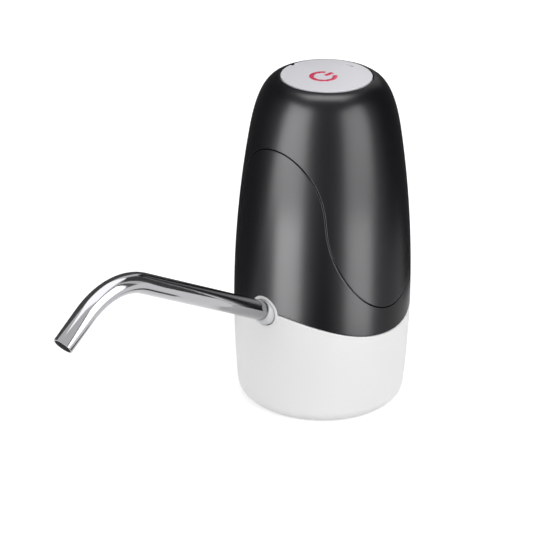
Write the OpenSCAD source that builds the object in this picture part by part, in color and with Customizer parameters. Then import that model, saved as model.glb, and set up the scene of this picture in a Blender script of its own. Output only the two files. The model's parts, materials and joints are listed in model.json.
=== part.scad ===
// Electric pump that sits on the neck of a water jug: body, button, spout, gear pump, motor and cell.
// Millimetres. +Z is up, +X points to the spout, and the origin is the middle of the neck socket's mouth.

/* [Body] */
// Diameter of the body at its widest
body_d = 75; // [72:0.5:84]
// Height of the body to its top rim
body_h = 143; // [140:0.5:165]
// Height of the widest section
widest_z = 45; // [40:0.5:52]
// Radius of the long curve of the sides
side_arc_r = 460; // [400:5:900]
// Depth of the rounded shoulder below the rim
shoulder_h = 24; // [21:0.5:28]
// How far the shoulder keeps the slope of the sides
shoulder_lead = 12; // [9:0.5:14]
// How far the crown keeps the slope of the rim
crown_lead = 7; // [5:0.5:9]
// Slope of the crown at the rim, in degrees
crown_tilt = 12; // [6:1:18]
// Rounding of the bottom edge
foot_fillet = 6; // [4:0.25:6.5]

/* [Shells] */
// Wall of the outer shells
shell_wall = 2; // [1.6:0.1:2.4]
// Wall of the lip behind the seams
lip_wall = 1.2; // [0.8:0.1:1.4]
// Reach of the lip past a seam
lip_reach = 4; // [2:0.25:5]
// Gap between the lip and the shell in front of it
lip_gap = 0.15; // [0.1:0.05:0.3]
// Width of the visible seam line
seam_gap = 0.3; // [0.2:0.05:0.5]
// Half width of the side tongue of the upper shell
tongue_half = 26.3; // [23:0.1:27]
// Depth below the rim where the side tongue is widest and its sides run straight
tongue_depth = 54; // [48:0.5:60]
// Height of the strip of lower shell under the tongue's rounded end
tongue_strip = 11.8; // [8:0.1:16]
// Straight run above the tongue's widest place
tongue_run = 5; // [2:0.5:8]
// Radius of the arch beside the tongue
arch_r = 65; // [55:1:75]
// Radius of the curve where the black shell meets the white base
edge_r = 70; // [60:1:90]
// Lowest height of that curve, at the sides
edge_z = 39.2; // [37.5:0.1:41]

/* [Neck socket] */
// Diameter of the jug's neck
neck_d = 55; // [50:0.5:56]
// Radial play of the neck in the socket
neck_play = 0.5; // [0.2:0.05:0.8]
// Depth of the socket to the seal
neck_depth = 26; // [22:0.5:27]
// Wall of the socket
socket_wall = 2; // [1.6:0.1:2.2]
// Thickness of the neck seal
neck_seal_t = 2; // [1.5:0.1:2.5]
// Radial width of the neck seal
neck_seal_w = 7.4; // [6:0.1:8]
// Floor of the base above the seal
floor_t = 3; // [2.6:0.1:3.6]
// Radius of the well over the hose nipple
hose_well_r = 16; // [12:0.5:17]
// Height of the well above the seal's seat
hose_well_h = 12; // [10:0.5:13]
// Wall and roof of the well
hose_well_wall = 2; // [1.6:0.1:2.4]

/* [Button] */
// Diameter of the button disc
button_d = 37.6; // [34:0.2:39]
// Gap round the disc
button_gap = 0.4; // [0.3:0.05:0.6]
// Thickness of the disc
button_t = 2.9; // [2.5:0.1:3.4]
// How far the disc stands above the rim
button_proud = 0.3; // [0:0.1:0.8]
// Travel of the button
button_travel = 0.8; // [0.5:0.1:1]
// Depth of the button well below the rim
button_well = 6; // [5.8:0.1:6.6]
// Outer diameter of the power sign
icon_d = 11.6; // [9:0.2:13]
// Stroke of the power sign
icon_stroke = 1.9; // [1.2:0.1:2.4]
// Depth of the inlays in the disc
inlay_depth = 1; // [0.6:0.1:1.4]

/* [Spout] */
// Outer diameter of the tube
tube_d = 8.4; // [7.6:0.1:8.6]
// Wall of the tube
tube_wall = 0.5; // [0.4:0.05:0.8]
// Height of the spout's axis at the body's face
spout_z = 49.5; // [48:0.25:51]
// Rise of the tube above the horizontal, in degrees
spout_rise = 28; // [25:0.5:31]
// Straight length of the tube outside the body
spout_run = 79.5; // [50:0.5:120]
// Radius of the bend
bend_r = 30; // [20:0.5:45]
// Angle of the bend
bend_angle = 64; // [40:1:80]
// Straight length after the bend
spout_end = 15; // [10:0.5:40]
// Radius of the collar's ball in the body's face
ball_r = 5.5; // [5.3:0.05:5.6]
// Radius of the collar behind its ball
collar_r = 5; // [4.9:0.05:5.1]
// Radius of the round boss that the ball sits in
boss_r = 7; // [6.9:0.05:7.4]
// How far the boss stands out of the base
boss_proud = 0.3; // [0.2:0.1:0.8]

/* [Pump] */
// Centre of the pump in front of the body's axis
pump_x = 5; // [4.6:0.1:5.2]
// Height of the pump above the chassis plate
pump_stand = 16.5; // [16:0.25:20]
// Teeth of each gear
gear_teeth = 12; // [12:1:12]
// Module of the gears
gear_module = 0.85; // [0.8:0.01:0.86]
// Pressure angle of the gears, in degrees
pressure_angle = 30; // [28:0.5:30]
// Backlash at the pitch circle
gear_backlash = 0.16; // [0.12:0.01:0.2]
// Width of the gears
gear_w = 5.8; // [5:0.1:6.5]
// Bore of the short hoses inside
hose_bore = 6; // [5.6:0.1:6.2]
// Wall of the short hoses inside
hose_wall = 1.4; // [1:0.1:1.5]
// Diameter of the outer nipple for the intake hose
nipple_d = 8; // [7:0.1:9]
// Length of that nipple
nipple_len = 10; // [8:0.5:11]

/* [Motor and cell] */
// Diameter of the motor can
motor_d = 24.2; // [23:0.1:24.6]
// Length of the motor can
motor_len = 27.8; // [27:0.1:29.5]
// Diameter of the motor shaft
shaft_d = 2; // [2:0.05:2.2]
// Diameter of the cell
cell_d = 18.4; // [18:0.1:18.6]
// Length of the cell
cell_len = 65; // [60:0.5:68]
// Thickness of the chassis plate
plate_t = 2.5; // [2:0.1:3]
// Diameter of the control board
board_d = 48; // [47:0.5:50]
// Thickness of the control board
board_t = 1.6; // [1:0.1:1.8]

/* [Hidden] */
$fn = 72;
// Small clearances: a running fit, a seated fit and an easy fit
run_fit = 0.04;
seat_fit = 0.1;
easy_fit = 0.3;

// Body outline: a long side arc, then a curve over the shoulder to the rim
body_r = body_d / 2;
side_c = body_r - side_arc_r;
shoulder_z = body_h - shoulder_h;
opening_r = button_d / 2 + button_gap;
rim_lip = 0.4;
rim_r = opening_r + rim_lip;
side_steps = 14;
shoulder_steps = 12;
fillet_steps = 8;
function side_r(z) = side_c + sqrt(side_arc_r ^ 2 - (z - widest_z) ^ 2);
function side_normal(z) = [side_r(z) - side_c, z - widest_z] / side_arc_r;
function side_point(z, inset) = [side_r(z), z] - inset * side_normal(z);
shoulder_n = side_normal(shoulder_z);
shoulder_from = side_point(shoulder_z, 0);
shoulder_to = [rim_r, body_h];
shoulder_a = shoulder_from + shoulder_lead * [-shoulder_n[1], shoulder_n[0]];
shoulder_b = shoulder_to + crown_lead * [cos(crown_tilt), -sin(crown_tilt)];
function curve(t) = (1 - t) ^ 3 * shoulder_from + 3 * t * (1 - t) ^ 2 * shoulder_a
    + 3 * t ^ 2 * (1 - t) * shoulder_b + t ^ 3 * shoulder_to;
function slope(t) = (1 - t) ^ 2 * (shoulder_a - shoulder_from)
    + 2 * t * (1 - t) * (shoulder_b - shoulder_a) + t ^ 2 * (shoulder_to - shoulder_b);
function shoulder_point(t, inset) = curve(t) - inset * [slope(t)[1], -slope(t)[0]] / norm(slope(t));
function side_run(z0, z1, inset) =
    [for (i = [0 : side_steps]) side_point(z0 + (z1 - z0) * i / side_steps, inset)];
function shoulder_run(inset) =
    [for (i = [1 : shoulder_steps]) shoulder_point(i / shoulder_steps, inset)];
function skin(z0, inset) = concat(side_run(z0, shoulder_z, inset), shoulder_run(inset));
function reversed(list) = [for (i = [len(list) - 1 : -1 : 0]) list[i]];

// Insets of the lip and of the thick wall that carries it
lip_from = shell_wall + lip_gap;
lip_to = lip_from + lip_wall;
edge_centre = edge_z + edge_r;
tongue_z = body_h - tongue_depth;
tongue_drop = tongue_z - edge_z - tongue_strip;
skin_z = edge_z - lip_reach - 3;

// Heights in the base, from the mouth of the socket up
socket_r = neck_d / 2 + neck_play;
seal_top = neck_depth + neck_seal_t;
floor_top = seal_top + floor_t;
well_roof = neck_depth + hose_well_h;
well_top = well_roof + hose_well_wall;
trench_z = 5;
base_top = edge_z + 16;
seal_play = 0.5;
seal_r = socket_r - seal_play;

// Inlet fitting and chassis plate
washer_t = 1;
flange_t = 2;
flange_r = 8;
shank_r = nipple_d / 2 + 1;
inlet_bore = 4.4;
nipple_tip = 0.6;
plate_z = well_top + washer_t + flange_t;
plate_top = plate_z + plate_t;
plate_r = side_r(plate_z) - lip_to - 1.1;
ledge_w = 2.6;
ledge_t = 1.5;
hose_r = hose_bore / 2 + hose_wall;
hose_nipple_r = hose_bore / 2 - run_fit;
nipple_gap = 1.2;

// Screws
screw_r = 1.2;
small_screw_r = 1;
head_h = 1.8;
post_r = 3.5;
post_at = 17;
base_screw_len = 12;

// Pump levels and gears
pump_z = plate_top + pump_stand;
cover_t = 2.5;
pump_seal_t = 0.5;
pump_body_z = pump_z + cover_t + pump_seal_t;
gear_play = 0.1;
cavity_h = gear_w + 2 * gear_play;
roof_t = 5;
motor_z = pump_body_z + cavity_h + roof_t;
pitch_r = gear_module * gear_teeth / 2;
addendum = 0.85;
dedendum = 1.1;
tip_r = pitch_r + addendum * gear_module;
root_r = pitch_r - dedendum * gear_module;
base_circle_r = pitch_r * cos(pressure_angle);
cavity_r = tip_r + gear_play;
pump_wall = 4.4;
pump_r = cavity_r + pump_wall;
port_r = 1.9;
port_reach = pump_x;
pin_r = shaft_d / 2;
pin_seat = 1.5;
ear_y = pitch_r + pump_r + 3.6;
ear_r = 4;
ear_t = 3;
flank_steps = 5;
motor_hole = 8;
motor_head_r = 1.7;
motor_head_h = 1.4;
motor_head_z = pump_body_z + cavity_h + 1;
pump_screw_at = 8;
pump_screw_turn = 35;
pump_screw_len = 8;

// Motor
motor_r = motor_d / 2;
motor_y = pitch_r;
can_wall = 0.9;
cup_wall = 1.5;
cup_h = 5;
cup_floor = 2.5;
bearing_boss_r = 3;
bearing_boss_h = 1.7;
bush_r = 2.6;
bush_len = 3.4;
shaft_r = shaft_d / 2;
seal_pocket_r = 3.3;
shaft_seal_t = 1.4;
boss_pocket_r = 4.05;
end_cap_t = 2.5;
end_hub_r = 4.2;
end_hub_h = 1.7;
magnet_t = 1.9;
magnet_len = 20;
magnet_arc = 130;
magnet_z = 4;
air_gap = 0.5;
armature_len = 16;
armature_z = 6;
commutator_r = 3;
commutator_len = 4;
terminal_at = 6.05;
terminal_h = 4.7;
can_top = motor_z + motor_len;
terminal_z = can_top + end_cap_t;

// Cell and its leads
tab_t = 0.3;
tab_w = 4;
cell_z = plate_top + tab_t + 0.2;
cell_top = cell_z + cell_len;
cell_room = 2.05;
cell_x = -(side_r(cell_top) - lip_to - cell_room - cell_d / 2);
nub_r = 2.8;
nub_h = 0.4;
cradle_wall = 1.6;
cradle_h = 24.5;
cradle_r = cell_d / 2 + 0.2;
lead_r = 0.7;

// Button well, board and switch, from the rim down
ledge_top = body_h - button_well;
well_floor_t = 2;
ledge_bottom = ledge_top - well_floor_t;
well_hole_r = button_d / 2 - 3.8;
well_wall = 2;
button_top = body_h + button_proud;
button_z = button_top - button_t;
board_drop = 6.4;
board_top = ledge_bottom - board_drop;
board_z = board_top - board_t;
board_boss_r = 2.5;
board_screw_at = well_hole_r + 3;
board_screw_len = 6;
hook_gap = 0.2;
hook_h = 1.8;
hook_reach = 1.4;
leg_t = 1.4;
leg_arc = 22;
leg_r = well_hole_r - button_gap;
skirt_t = 1.6;
switch_w = 6;
switch_h = 3.4;
plunger_r = 1.7;
plunger_h = 2;
plunger_proud = 1.2;
plunger_top = board_top + switch_h + plunger_proud;
stem_r = 2.5;
icon_x = 2;
icon_gap_arc = 62;
window_x = -(button_d / 2 - 3.8);
window_len = 4;
window_w = 1.2;
inlay_gap = 0.03;
key_r = 0.85;
key_play = 0.35;
led = [3.2, 2.8, 1.9];
led_x = 6;

// Charging port at the back of the board
port_w = 9;
port_h = 3.2;
port_len = 7.4;
port_wall = 0.35;
port_mouth_x = -28.6;
port_z = board_top + port_h / 2;

// Spout axis, and lengths along it from the body's face
spout_x = side_r(spout_z);
tube_r = tube_d / 2;
bend_lap = 0.5;
bend_draw = 0.03;
flange_front = -9.2;
flange_back = -15.2;
collar_flange_r = 6.5;
collar_play = 0.2;
tube_seat = -12.8;
collar_lap = 0.5;
ball_at = -1.45;
ball_play = 0.1;
ball_front = ball_at + ball_r;
ring_r = 0.5;
ring_room = 0.6;
tube_ring_at = -10.7;
swivel_ring_at = -13.9;
chamber_end = -16.8;
socket_end = -18.3;
socket_front = flange_front + collar_play;
spout_socket_r = 8.5;
cap_r = 8.2;
cap_t = 1.4;
boss_x = spout_x - 3.2;
boss_z = spout_z + ball_at * sin(spout_rise);
boss_hole_r = ball_r + ball_play;
boss_cut = ball_front - flange_front;
mouth_set = 0.4;
mouth_lap = 0.1;
mouth_x = spout_x + ball_at * cos(spout_rise) + mouth_set;
outlet_at = (flange_back + chamber_end) / 2;
outlet_x = spout_x + outlet_at * cos(spout_rise) - collar_flange_r * sin(spout_rise);
outlet_z = spout_z + 4.5;
pedestal_r = 4.6;
outlet_r = 1.8;
arm_r = 3;
elbow_r = 3.4;
arm_z = pump_body_z + cavity_h / 2;
elbow_z = arm_z - arm_r - 1;
lug_x = 22;
lug_y = 10;
lug_h = 9;
bar_h = 5;
bar_x0 = lug_x - 2;
bar_lap = 1.7;
socket_back_x = spout_x + socket_end * cos(spout_rise);
bar_x1 = socket_back_x + spout_socket_r * sin(spout_rise) + bar_lap;

// Helpers

module ring(outer, inner, h) {
    difference() {
        cylinder(r = outer, h = h);
        translate([0, 0, -1]) cylinder(r = inner, h = h + 2);
    }
}

module o_ring(middle, thick) {
    rotate_extrude() translate([middle, 0]) circle(r = thick);
}

// Moves children to the spout's axis, with their Z along it and their X to its underside
module at_spout() {
    translate([spout_x, 0, spout_z]) rotate([0, 90 - spout_rise, 0]) children();
}

module at_motor() {
    translate([pump_x, motor_y, 0]) children();
}

// One screw: its head from z = 0 downwards and its shank upwards
module screw(r, head_r, head, len) {
    translate([0, 0, -head]) cylinder(r = head_r, h = head);
    cylinder(r = r, h = len);
}

// A bar with round ends along X, as wide as it is given along Y
module round_bar(width, height, len) {
    rotate([0, 90, 0]) for (side = [-1, 1])
        translate([0, side * (width - height) / 2, 0]) cylinder(d = height, h = len);
    translate([0, -(width - height) / 2, -height / 2]) cube([len, width - height, height]);
}

// The layer of the body's skin between two insets, from the height z0 to the rim
module skin_layer(z0, outer, inner) {
    rotate_extrude() polygon(concat(skin(z0, outer), reversed(skin(z0, inner))));
}

// Side view of the upper shell's part of the body, drawn in by inset
function tongue(inset) = concat(
    [for (a = [-90 : 7.5 : 0])
        [(tongue_half - inset) * cos(a), tongue_z + (tongue_drop - inset) * sin(a)]],
    [for (a = [0 : 5 : 40])
        [tongue_half + arch_r - (arch_r + inset) * cos(a),
         tongue_z + tongue_run + (arch_r + inset) * sin(a)]]);

module tongue_block(inset) {
    right = tongue(inset);
    top = body_h + 10;
    left = [for (p = reversed(right)) [-p[0], p[1]]];
    last = right[len(right) - 1];
    outline = concat(right, [[last[0], top], [-last[0], top]], left);
    translate([0, body_r + 5, 0]) rotate([90, 0, 0]) linear_extrude(body_d + 10) polygon(outline);
}

// The round cut where the black shells end, seen from the side
module edge_block(r) {
    translate([0, body_r + 5, edge_centre]) rotate([90, 0, 0]) cylinder(r = r, h = body_d + 10, $fn = 180);
}

// Outline of the pump: two round ends about the gear centres
module pump_outline(r) {
    translate([pump_x, 0]) {
        for (side = [-1, 1]) translate([0, side * pitch_r]) circle(r = r);
        square([2 * r, 2 * pitch_r], center = true);
    }
}

// The gear chamber with its inlet and outlet pockets
module cavity_outline(play) {
    for (side = [-1, 1]) translate([pump_x, side * pitch_r]) circle(r = cavity_r + play);
    for (side = [-1, 1]) translate([pump_x + side * port_reach, 0]) circle(r = port_r + play);
    translate([pump_x, 0]) square([2 * port_reach, 2 * (port_r + play)], center = true);
}

function involute(r) = tan(acos(base_circle_r / r)) * 180 / PI - acos(base_circle_r / r);
function flank(r) = 90 / gear_teeth - gear_backlash / 4 / pitch_r * 180 / PI
    + involute(pitch_r) - involute(r);
function polar(r, a) = [r * cos(a), r * sin(a)];
flank_from = max(base_circle_r, root_r);
flank_radii = [for (i = [0 : flank_steps]) flank_from + (tip_r - flank_from) * i / flank_steps];
function tooth(turn) = concat([polar(root_r, turn - flank(flank_from))],
    [for (r = flank_radii) polar(r, turn - flank(r))],
    [for (r = reversed(flank_radii)) polar(r, turn + flank(r))],
    [polar(root_r, turn + flank(flank_from))]);

module gear(bore, turn) {
    points = [for (i = [0 : gear_teeth - 1]) each tooth(turn + i * 360 / gear_teeth)];
    difference() {
        linear_extrude(gear_w) polygon(points);
        translate([0, 0, -1]) cylinder(r = bore, h = gear_w + 2);
    }
}

module screw_places() {
    for (sx = [-1, 1]) for (sy = [-1, 1]) translate([sx * post_at, sy * post_at, 0]) children();
    for (sy = [-1, 1]) translate([lug_x, sy * lug_y, 0]) children();
}

module pump_screw_places() {
    for (sx = [-1, 1]) for (sy = [-1, 1])
        translate([pump_x + sx * pump_screw_at * cos(pump_screw_turn),
                   sy * (pitch_r + pump_screw_at * sin(pump_screw_turn)), 0]) children();
}

module board_screw_places() {
    for (a = [0, 120, 240]) rotate([0, 0, a]) translate([board_screw_at, 0, 0]) children();
}

module motor_screw_places() {
    at_motor() for (sx = [-1, 1]) translate([sx * motor_hole, 0, 0]) children();
}

// Casing

module upper_shell() {
    color("#17181a") difference() {
        union() {
            intersection() {
                skin_layer(skin_z, 0, shell_wall);
                tongue_block(seam_gap / 2);
            }
            translate([0, 0, ledge_bottom])
                ring(opening_r + well_wall, opening_r - button_gap, body_h - ledge_bottom - 1.5);
            translate([0, 0, ledge_bottom]) ring(opening_r + well_wall, well_hole_r, well_floor_t);
            board_screw_places() translate([0, 0, board_top])
                cylinder(r = board_boss_r, h = board_drop + well_floor_t);
        }
        difference() {
            translate([0, 0, ledge_top]) cylinder(r = opening_r, h = button_well + 5);
            translate([0, -opening_r, ledge_top]) cylinder(r = key_r, h = button_well - rim_lip);
        }
        board_screw_places() translate([0, 0, board_top - 1])
            cylinder(r = small_screw_r + run_fit, h = board_screw_len + 1.5);
        translate([port_mouth_x - 10, 0, port_z])
            round_bar(port_w + 2 * easy_fit, port_h + 2 * easy_fit, port_len + 8);
    }
}

module lower_shell() {
    color("#1c1d1f") difference() {
        union() {
            difference() {
                intersection() {
                    skin_layer(skin_z, 0, lip_to);
                    edge_block(edge_r - seam_gap / 2);
                }
                tongue_block(-seam_gap / 2);
            }
            difference() {
                intersection() {
                    skin_layer(skin_z, lip_from, lip_to);
                    edge_block(edge_r + lip_reach);
                }
                tongue_block(lip_reach);
            }
            difference() {
                translate([0, 0, plate_top])
                    ring(side_r(plate_top) - lip_to + 0.15, plate_r - ledge_w + 1, ledge_t);
                translate([0, -lug_y, 0]) cube([body_d, 2 * lug_y, body_h]);
            }
        }
        translate([0, 0, boss_z]) rotate([0, 90, 0])
            cylinder(r = boss_r + seat_fit, h = body_d);
        at_spout() translate([0, 0, flange_front]) cylinder(r = boss_hole_r + easy_fit, h = boss_cut);
    }
}

module base_shell() {
    fillet_x = side_c + sqrt((side_arc_r - foot_fillet) ^ 2 - (foot_fillet - widest_z) ^ 2);
    tangent = atan2(foot_fillet - widest_z, fillet_x - side_c);
    foot = [for (i = [0 : fillet_steps]) [fillet_x, foot_fillet]
        + polar(foot_fillet, -90 + (90 + tangent) * i / fillet_steps)];
    side_from = foot_fillet * (1 + sin(tangent));
    outside = concat([[0, 0]], foot,
        [for (i = [1 : side_steps]) side_point(side_from + (base_top - side_from) * i / side_steps, 0)],
        [[0, base_top]]);
    inside = concat(side_run(trench_z, base_top + 1, shell_wall),
        [[0, base_top + 1], [0, well_top], [hose_well_r + hose_well_wall, well_top],
         [hose_well_r + hose_well_wall, floor_top], [socket_r + socket_wall, floor_top],
         [socket_r + socket_wall, trench_z]]);
    color("#ececea") difference() {
        union() {
            difference() {
                rotate_extrude() polygon(outside);
                rotate_extrude() polygon(inside);
                edge_block(edge_r + seam_gap / 2);
            }
            translate([boss_x, 0, boss_z]) rotate([0, 90, 0])
                cylinder(r = boss_r, h = spout_x + boss_proud - boss_x);
        }
        translate([0, 0, -1]) cylinder(r = socket_r, h = neck_depth + 1);
        translate([0, 0, neck_depth - 1]) ring(seal_r, seal_r - neck_seal_w - seat_fit, neck_seal_t + 1);
        translate([0, 0, neck_depth - 1]) cylinder(r = hose_well_r, h = hose_well_h + 1);
        translate([0, 0, well_roof - 1]) cylinder(r = shank_r + seat_fit, h = hose_well_wall + 2);
        screw_places() translate([0, 0, seal_top - 1]) {
            cylinder(r = screw_r + seat_fit, h = floor_t + 2);
            cylinder(r = 2 * screw_r + seat_fit, h = head_h + 1);
        }
        difference() {
            at_spout() translate([0, 0, flange_front]) cylinder(r = boss_hole_r, h = boss_cut);
            translate([mouth_x, -body_r, 0]) cube([body_r, body_d, body_h]);
        }
        translate([mouth_x - mouth_lap, 0, boss_z]) rotate([0, 90, 0])
            cylinder(r = boss_hole_r, h = body_r);
    }
}

module neck_gasket() {
    color("#d9d9d6") translate([0, 0, neck_depth])
        ring(seal_r - seat_fit, seal_r - neck_seal_w, neck_seal_t);
}

module base_screws() {
    color("silver") screw_places() translate([0, 0, seal_top + head_h])
        screw(screw_r, 2 * screw_r, head_h - seat_fit, base_screw_len - head_h);
}

// Button and its inlays

module power_sign(play, depth) {
    r_out = icon_d / 2;
    r_in = r_out - icon_stroke;
    translate([icon_x, 0, button_top - depth]) {
        rotate([0, 0, 180 + icon_gap_arc / 2]) rotate_extrude(angle = 360 - icon_gap_arc)
            translate([r_in - play, 0]) square([icon_stroke + 2 * play, depth]);
        translate([-r_out - play, -icon_stroke / 2 - play, 0])
            cube([r_out - r_in / 3 + 2 * play, icon_stroke + 2 * play, depth]);
    }
}

module window_pill(play, depth) {
    translate([window_x, 0, button_top - depth]) {
        for (side = [-1, 1]) translate([0, side * (window_len - window_w) / 2, 0])
            cylinder(d = window_w + 2 * play, h = depth);
        translate([-window_w / 2 - play, -(window_len - window_w) / 2, 0])
            cube([window_w + 2 * play, window_len - window_w, depth]);
    }
}

module power_button() {
    disc_r = button_d / 2;
    skirt_z = ledge_top + button_travel;
    hook_top = ledge_bottom - hook_gap;
    leg = [[leg_r - leg_t, hook_top - hook_h], [leg_r + hook_reach, hook_top - hook_h],
        [leg_r + hook_reach, hook_top], [leg_r, hook_top], [leg_r, button_z + 0.5],
        [leg_r - leg_t, button_z + 0.5]];
    color("#cfd0d2") difference() {
        union() {
            translate([0, 0, button_z]) cylinder(r = disc_r, h = button_t);
            translate([0, 0, skirt_z])
                ring(disc_r - seat_fit, disc_r - seat_fit - skirt_t, button_z - skirt_z + 0.5);
            translate([0, 0, plunger_top]) cylinder(r = stem_r, h = button_z - plunger_top + 0.5);
            for (a = [60, 180, 300]) rotate([0, 0, a - leg_arc / 2])
                rotate_extrude(angle = leg_arc) polygon(leg);
        }
        power_sign(inlay_gap, inlay_depth + 1);
        translate([0, 0, 1]) power_sign(inlay_gap, inlay_depth + 1);
        window_pill(inlay_gap, inlay_depth + 1);
        translate([0, 0, 1]) window_pill(inlay_gap, inlay_depth + 1);
        translate([0, -opening_r, skirt_z - 1]) cylinder(r = key_r + key_play, h = button_top);
    }
}

module power_icon() {
    color("#d8475c") power_sign(0, inlay_depth + 1);
}

module charge_window() {
    color("#e9e9ec") window_pill(0, inlay_depth + 1);
}

// Switch, board and port

module switch_plunger() {
    color("#202020") translate([0, 0, plunger_top - plunger_h]) cylinder(r = plunger_r, h = plunger_h);
}

module tact_switch() {
    color("#3a3a3c") translate([0, 0, board_top]) difference() {
        translate([-switch_w / 2, -switch_w / 2, 0]) cube([switch_w, switch_w, switch_h]);
        translate([0, 0, switch_h - plunger_h + plunger_proud - button_travel - 0.2])
            cylinder(r = plunger_r + seat_fit, h = switch_h);
    }
}

module control_board() {
    color("#1f6b3a") difference() {
        translate([0, 0, board_z]) cylinder(d = board_d, h = board_t);
        board_screw_places() translate([0, 0, board_z - 1])
            cylinder(r = small_screw_r + seat_fit, h = board_t + 2);
    }
}

module board_chips() {
    chip = [5, 5, 1.2];
    coil_r = 3.2;
    coil_h = 3;
    row_y = 13;
    color("#222326") {
        translate([-chip[0] / 2, row_y - chip[1] / 2, board_z - chip[2]]) cube(chip);
        translate([0, -row_y, board_z - coil_h]) cylinder(r = coil_r, h = coil_h);
    }
}

module indicator_leds() {
    color("#f2e9d8") for (x = [led_x, window_x])
        translate([x - led[0] / 2, -led[1] / 2, board_top]) cube(led);
}

module usb_port() {
    inner_w = port_w - 2 * port_wall;
    inner_h = port_h - 2 * port_wall;
    back = 1.2;
    tongue_w = 6.4;
    tongue_t = 0.7;
    color("#b9bbbe") translate([port_mouth_x, 0, port_z]) {
        difference() {
            round_bar(port_w, port_h, port_len);
            translate([-1, 0, 0]) round_bar(inner_w, inner_h, port_len + 1 - back);
        }
        translate([0.6, -tongue_w / 2, -tongue_t / 2]) cube([port_len - back, tongue_w, tongue_t]);
    }
}

module board_screws() {
    color("silver") board_screw_places() translate([0, 0, board_z])
        screw(small_screw_r, 2 * small_screw_r, head_h, board_t + board_screw_len - 0.6);
}

// Chassis, fitting and hoses

module chassis() {
    cutout_y = lug_y + 0.5;
    cutout_x = outlet_x - pedestal_r - 1;
    slot_half = 5.5;
    color("#c9cbd0") difference() {
        union() {
            difference() {
                translate([0, 0, plate_z]) cylinder(r = plate_r, h = plate_t);
                translate([cutout_x, -cutout_y, plate_z - 1])
                    cube([body_d, 2 * cutout_y, plate_t + 2]);
            }
            for (sx = [-1, 1]) for (sy = [-1, 1]) translate([sx * post_at, sy * post_at, floor_top])
                cylinder(r = post_r, h = plate_z - floor_top + 0.5);
            for (sy = [-1, 1]) translate([pump_x, sy * ear_y, plate_top - 0.5])
                cylinder(r = post_r, h = pump_body_z - plate_top + 0.5);
            difference() {
                translate([cell_x, 0, plate_top - 0.5])
                    ring(cradle_r + cradle_wall, cradle_r, cradle_h + 0.5);
                translate([cell_x - body_r, -slot_half, plate_top])
                    cube([body_r, 2 * slot_half, cradle_h + 1]);
            }
        }
        translate([0, 0, plate_z - 1]) cylinder(r = hose_r + easy_fit + 0.2, h = plate_t + 2);
        for (sx = [-1, 1]) for (sy = [-1, 1]) translate([sx * post_at, sy * post_at, floor_top - 1])
            cylinder(r = screw_r + run_fit, h = base_screw_len - floor_t + 1.5);
        for (sy = [-1, 1]) translate([pump_x, sy * ear_y, pump_body_z - base_screw_len])
            cylinder(r = screw_r + run_fit, h = base_screw_len + 1);
    }
}

module inlet_fitting() {
    top_len = (pump_z - plate_z - nipple_gap) / 2;
    color("#dcdcdc") difference() {
        union() {
            translate([0, 0, well_roof - nipple_len]) cylinder(d = nipple_d, h = nipple_len + 0.5);
            translate([0, 0, well_roof - nipple_len - nipple_tip])
                cylinder(d1 = nipple_d - 2 * nipple_tip, d2 = nipple_d, h = nipple_tip);
            translate([0, 0, well_roof]) cylinder(r = shank_r, h = hose_well_wall + washer_t + 0.5);
            translate([0, 0, well_top + washer_t]) cylinder(r = flange_r, h = flange_t);
            translate([0, 0, plate_z - 0.5]) cylinder(r = hose_nipple_r, h = top_len + 0.5);
        }
        translate([0, 0, 1]) cylinder(d = inlet_bore, h = pump_z);
    }
}

module inlet_washer() {
    color("#2b2b2d") translate([0, 0, well_top]) ring(flange_r, shank_r + run_fit, washer_t);
}

module inlet_hose() {
    color("#e6e6e2") translate([0, 0, plate_z + easy_fit])
        ring(hose_r, hose_bore / 2, pump_z - plate_z - 2 * easy_fit);
}

module outlet_hose() {
    color("#e6e6e2") translate([outlet_x, 0, outlet_z + easy_fit])
        ring(hose_r, hose_bore / 2, elbow_z - outlet_z - 2 * easy_fit);
}

// Gear pump

module pump_cover() {
    drop = (pump_z - plate_z - nipple_gap) / 2;
    inlet_x = pump_x - port_reach;
    color("#bfc2c6") difference() {
        union() {
            translate([0, 0, pump_z]) linear_extrude(cover_t) pump_outline(pump_r);
            translate([inlet_x, 0, pump_z - drop]) cylinder(r = hose_nipple_r, h = drop + 0.5);
        }
        translate([inlet_x, 0, pump_z - drop - 1]) cylinder(r = port_r, h = drop + cover_t + 2);
        translate([pump_x, -pitch_r, pump_z + cover_t - pin_seat])
            cylinder(r = pin_r + run_fit, h = pin_seat + 1);
        pump_screw_places() translate([0, 0, pump_z - 1])
            cylinder(r = small_screw_r + seat_fit, h = cover_t + 2);
    }
}

module pump_gasket() {
    color("#303134") translate([0, 0, pump_z + cover_t]) difference() {
        linear_extrude(pump_seal_t) difference() {
            pump_outline(pump_r - seat_fit);
            cavity_outline(seat_fit);
        }
        pump_screw_places() translate([0, 0, -1])
            cylinder(r = small_screw_r + seat_fit, h = pump_seal_t + 2);
    }
}

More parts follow.
